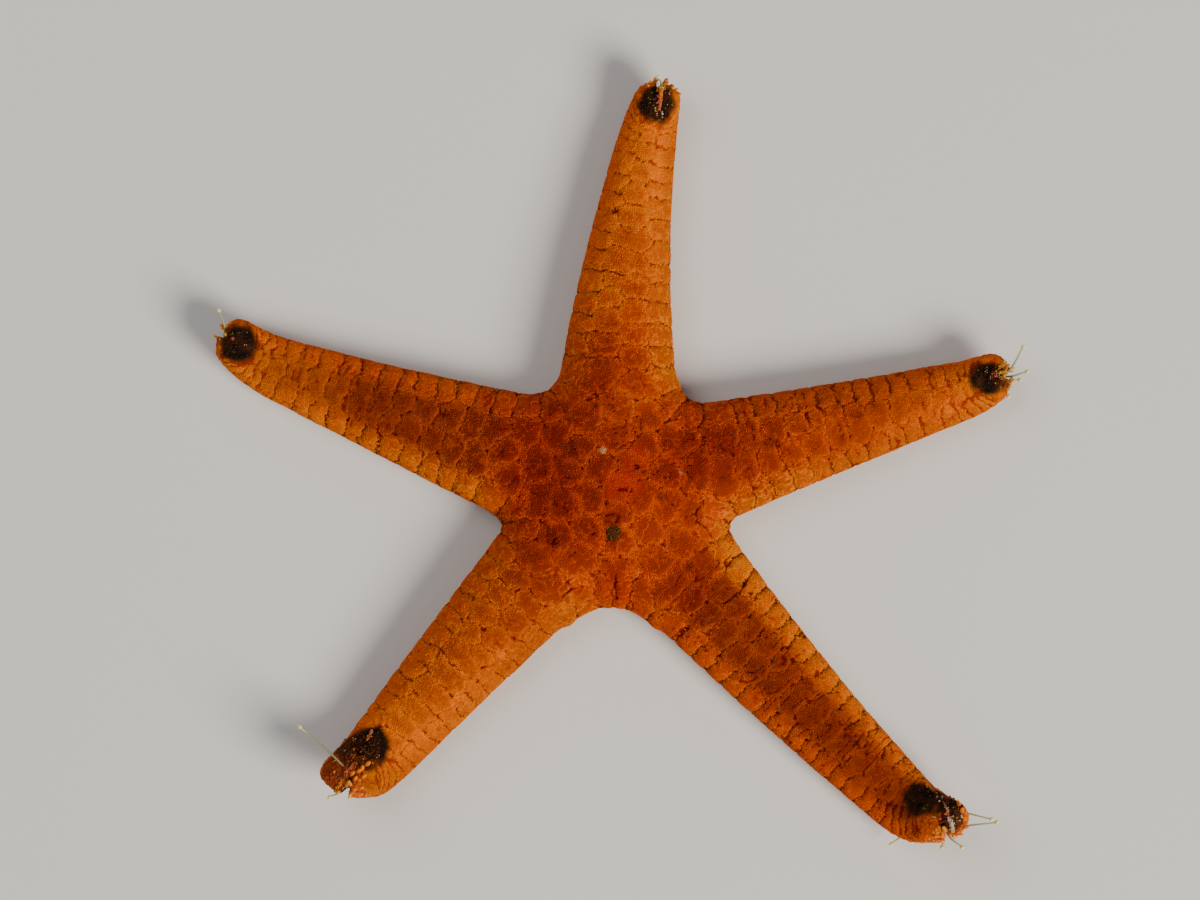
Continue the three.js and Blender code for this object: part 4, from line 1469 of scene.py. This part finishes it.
# The colour comes from the mesh, with a fine grain over it.
def markedMaterial(name, roughness, bump, grain, shine=flesh["shine"], glow=flesh["glow"]):
    material, tree, shader = newMaterial(name, {
        "Roughness": roughness,
        "Specular IOR Level": shine,
        "Subsurface Weight": glow,
        "Subsurface Radius": flesh["glowRadius"],
        "Subsurface Scale": flesh["glowScale"],
    })
    least, most = flesh["grainRange"]
    colour = addNode(tree, "ShaderNodeAttribute", attribute_name="marking")
    coords = addNode(tree, "ShaderNodeTexCoord")
    speckle = addNode(tree, "ShaderNodeTexNoise", {"Scale": grain, "Detail": 3})
    ramp = addNode(tree, "ShaderNodeMapRange", {"To Min": least, "To Max": most})
    blend = addNode(tree, "ShaderNodeMix", {"Factor": 1}, data_type="RGBA", blend_type="MULTIPLY")
    lift = addNode(tree, "ShaderNodeBump", {"Strength": bump, "Distance": flesh["bumpHeight"]})
    linkNodes(tree, (coords, "Object", speckle, "Vector"), (speckle, "Fac", ramp, "Value"),
              (colour, "Color", blend, "A"), (ramp, "Result", blend, "B"),
              (blend, "Result", shader, "Base Color"), (speckle, "Fac", lift, "Height"),
              (lift, "Normal", shader, "Normal"))
    return material


print("materials")
materials = {name: markedMaterial(name, **look) for name, look in surfaces.items()}
skinObject.data.materials.append(materials["granularSkin"])
for thing in coat:
    thing.data.materials.append(materials["skinGranules"])

fleshNodes = [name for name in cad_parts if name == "disc" or name.startswith(("arm_", "tip_plate_"))]
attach(skinObject, "root")
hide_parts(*fleshNodes)
for thing in coat:
    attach(thing, "root")


def finishPiece(thing, surface, node=None):
    thing.data.materials.append(materials[surface])
    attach(thing, "root")
    if node:
        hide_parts(node)


for i, name in enumerate(armNames):
    finishPiece(spinePieces[i], "paleSpines")
    finishPiece(footPieces[i], "wetSoftSkin")
    finishPiece(endPieces[i], "paleSpines")
    finishPiece(eyePieces[i], "redEyespot", f"eye_{name}")
for node, piece in feelerPieces.items():
    finishPiece(piece, "wetSoftSkin", node)
finishPiece(sievePiece, "groovedPlate", "madreporite")
finishPiece(jawPiece, "paleSpines", "mouth")
finishPiece(membranePiece, "wetSoftSkin")


# The camera looks straight down on the middle of the view. Lights are placed in metres, and the rest
# is in millimetres.
studio = {
    "viewWidth": 114.0,
    "viewMiddle": (-2.155, 1.145),
    "viewLevel": 3.0,
    "lens": 400.0,
    "floorHalf": 900,
    "floor": {"Base Color": (0.72, 0.71, 0.69, 1), "Roughness": 0.8},
    "lights": {
        "key": dict(place=(0.66, -0.48, 0.62), size=0.5, power=14.3, colour=(1, 0.94, 0.82)),
        "fill": dict(place=(-0.3, 0.2, 0.5), size=0.5, power=1.3, colour=(1, 0.97, 0.92)),
    },
    "sky": {"Color": (0.9, 0.93, 1, 1), "Strength": 0.22},
}


def makeFloor():
    corners = np.array([[-1, -1, 0], [1, -1, 0], [1, 1, 0], [-1, 1, 0]]) * studio["floorHalf"]
    floor = makeObject("floor", corners, [np.array([[0, 1, 2, 3]])], smooth=False)
    floor.data.materials.append(newMaterial("paleFloor", studio["floor"])[0])


def areaLight(name, place, size, power, colour):
    data = bpy.data.lights.new(name, "AREA")
    data.shape = "DISK"
    data.size = size
    data.energy = power
    data.color = colour
    light = bpy.data.objects.new(name, data)
    light.location = place
    light.rotation_euler = (-Vector(place)).to_track_quat("-Z", "Y").to_euler()
    bpy.context.scene.collection.objects.link(light)


def makeCamera():
    data = bpy.data.cameras.new("camera")
    data.sensor_width = 36
    data.lens = studio["lens"]
    height = studio["viewLevel"] + studio["viewWidth"] * studio["lens"] / data.sensor_width
    data.clip_start = 0.01
    data.clip_end = 20
    camera = bpy.data.objects.new("camera", data)
    camera.location = (studio["viewMiddle"][0] * mm, studio["viewMiddle"][1] * mm, height * mm)
    bpy.context.scene.collection.objects.link(camera)
    bpy.context.scene.camera = camera


def makeWorld():
    world = bpy.data.worlds.new("studio")
    world.use_nodes = True
    for key, value in studio["sky"].items():
        world.node_tree.nodes["Background"].inputs[key].default_value = value
    bpy.context.scene.world = world


print("studio")
makeFloor()
for name, light in studio["lights"].items():
    areaLight(name, **light)
makeWorld()
makeCamera()
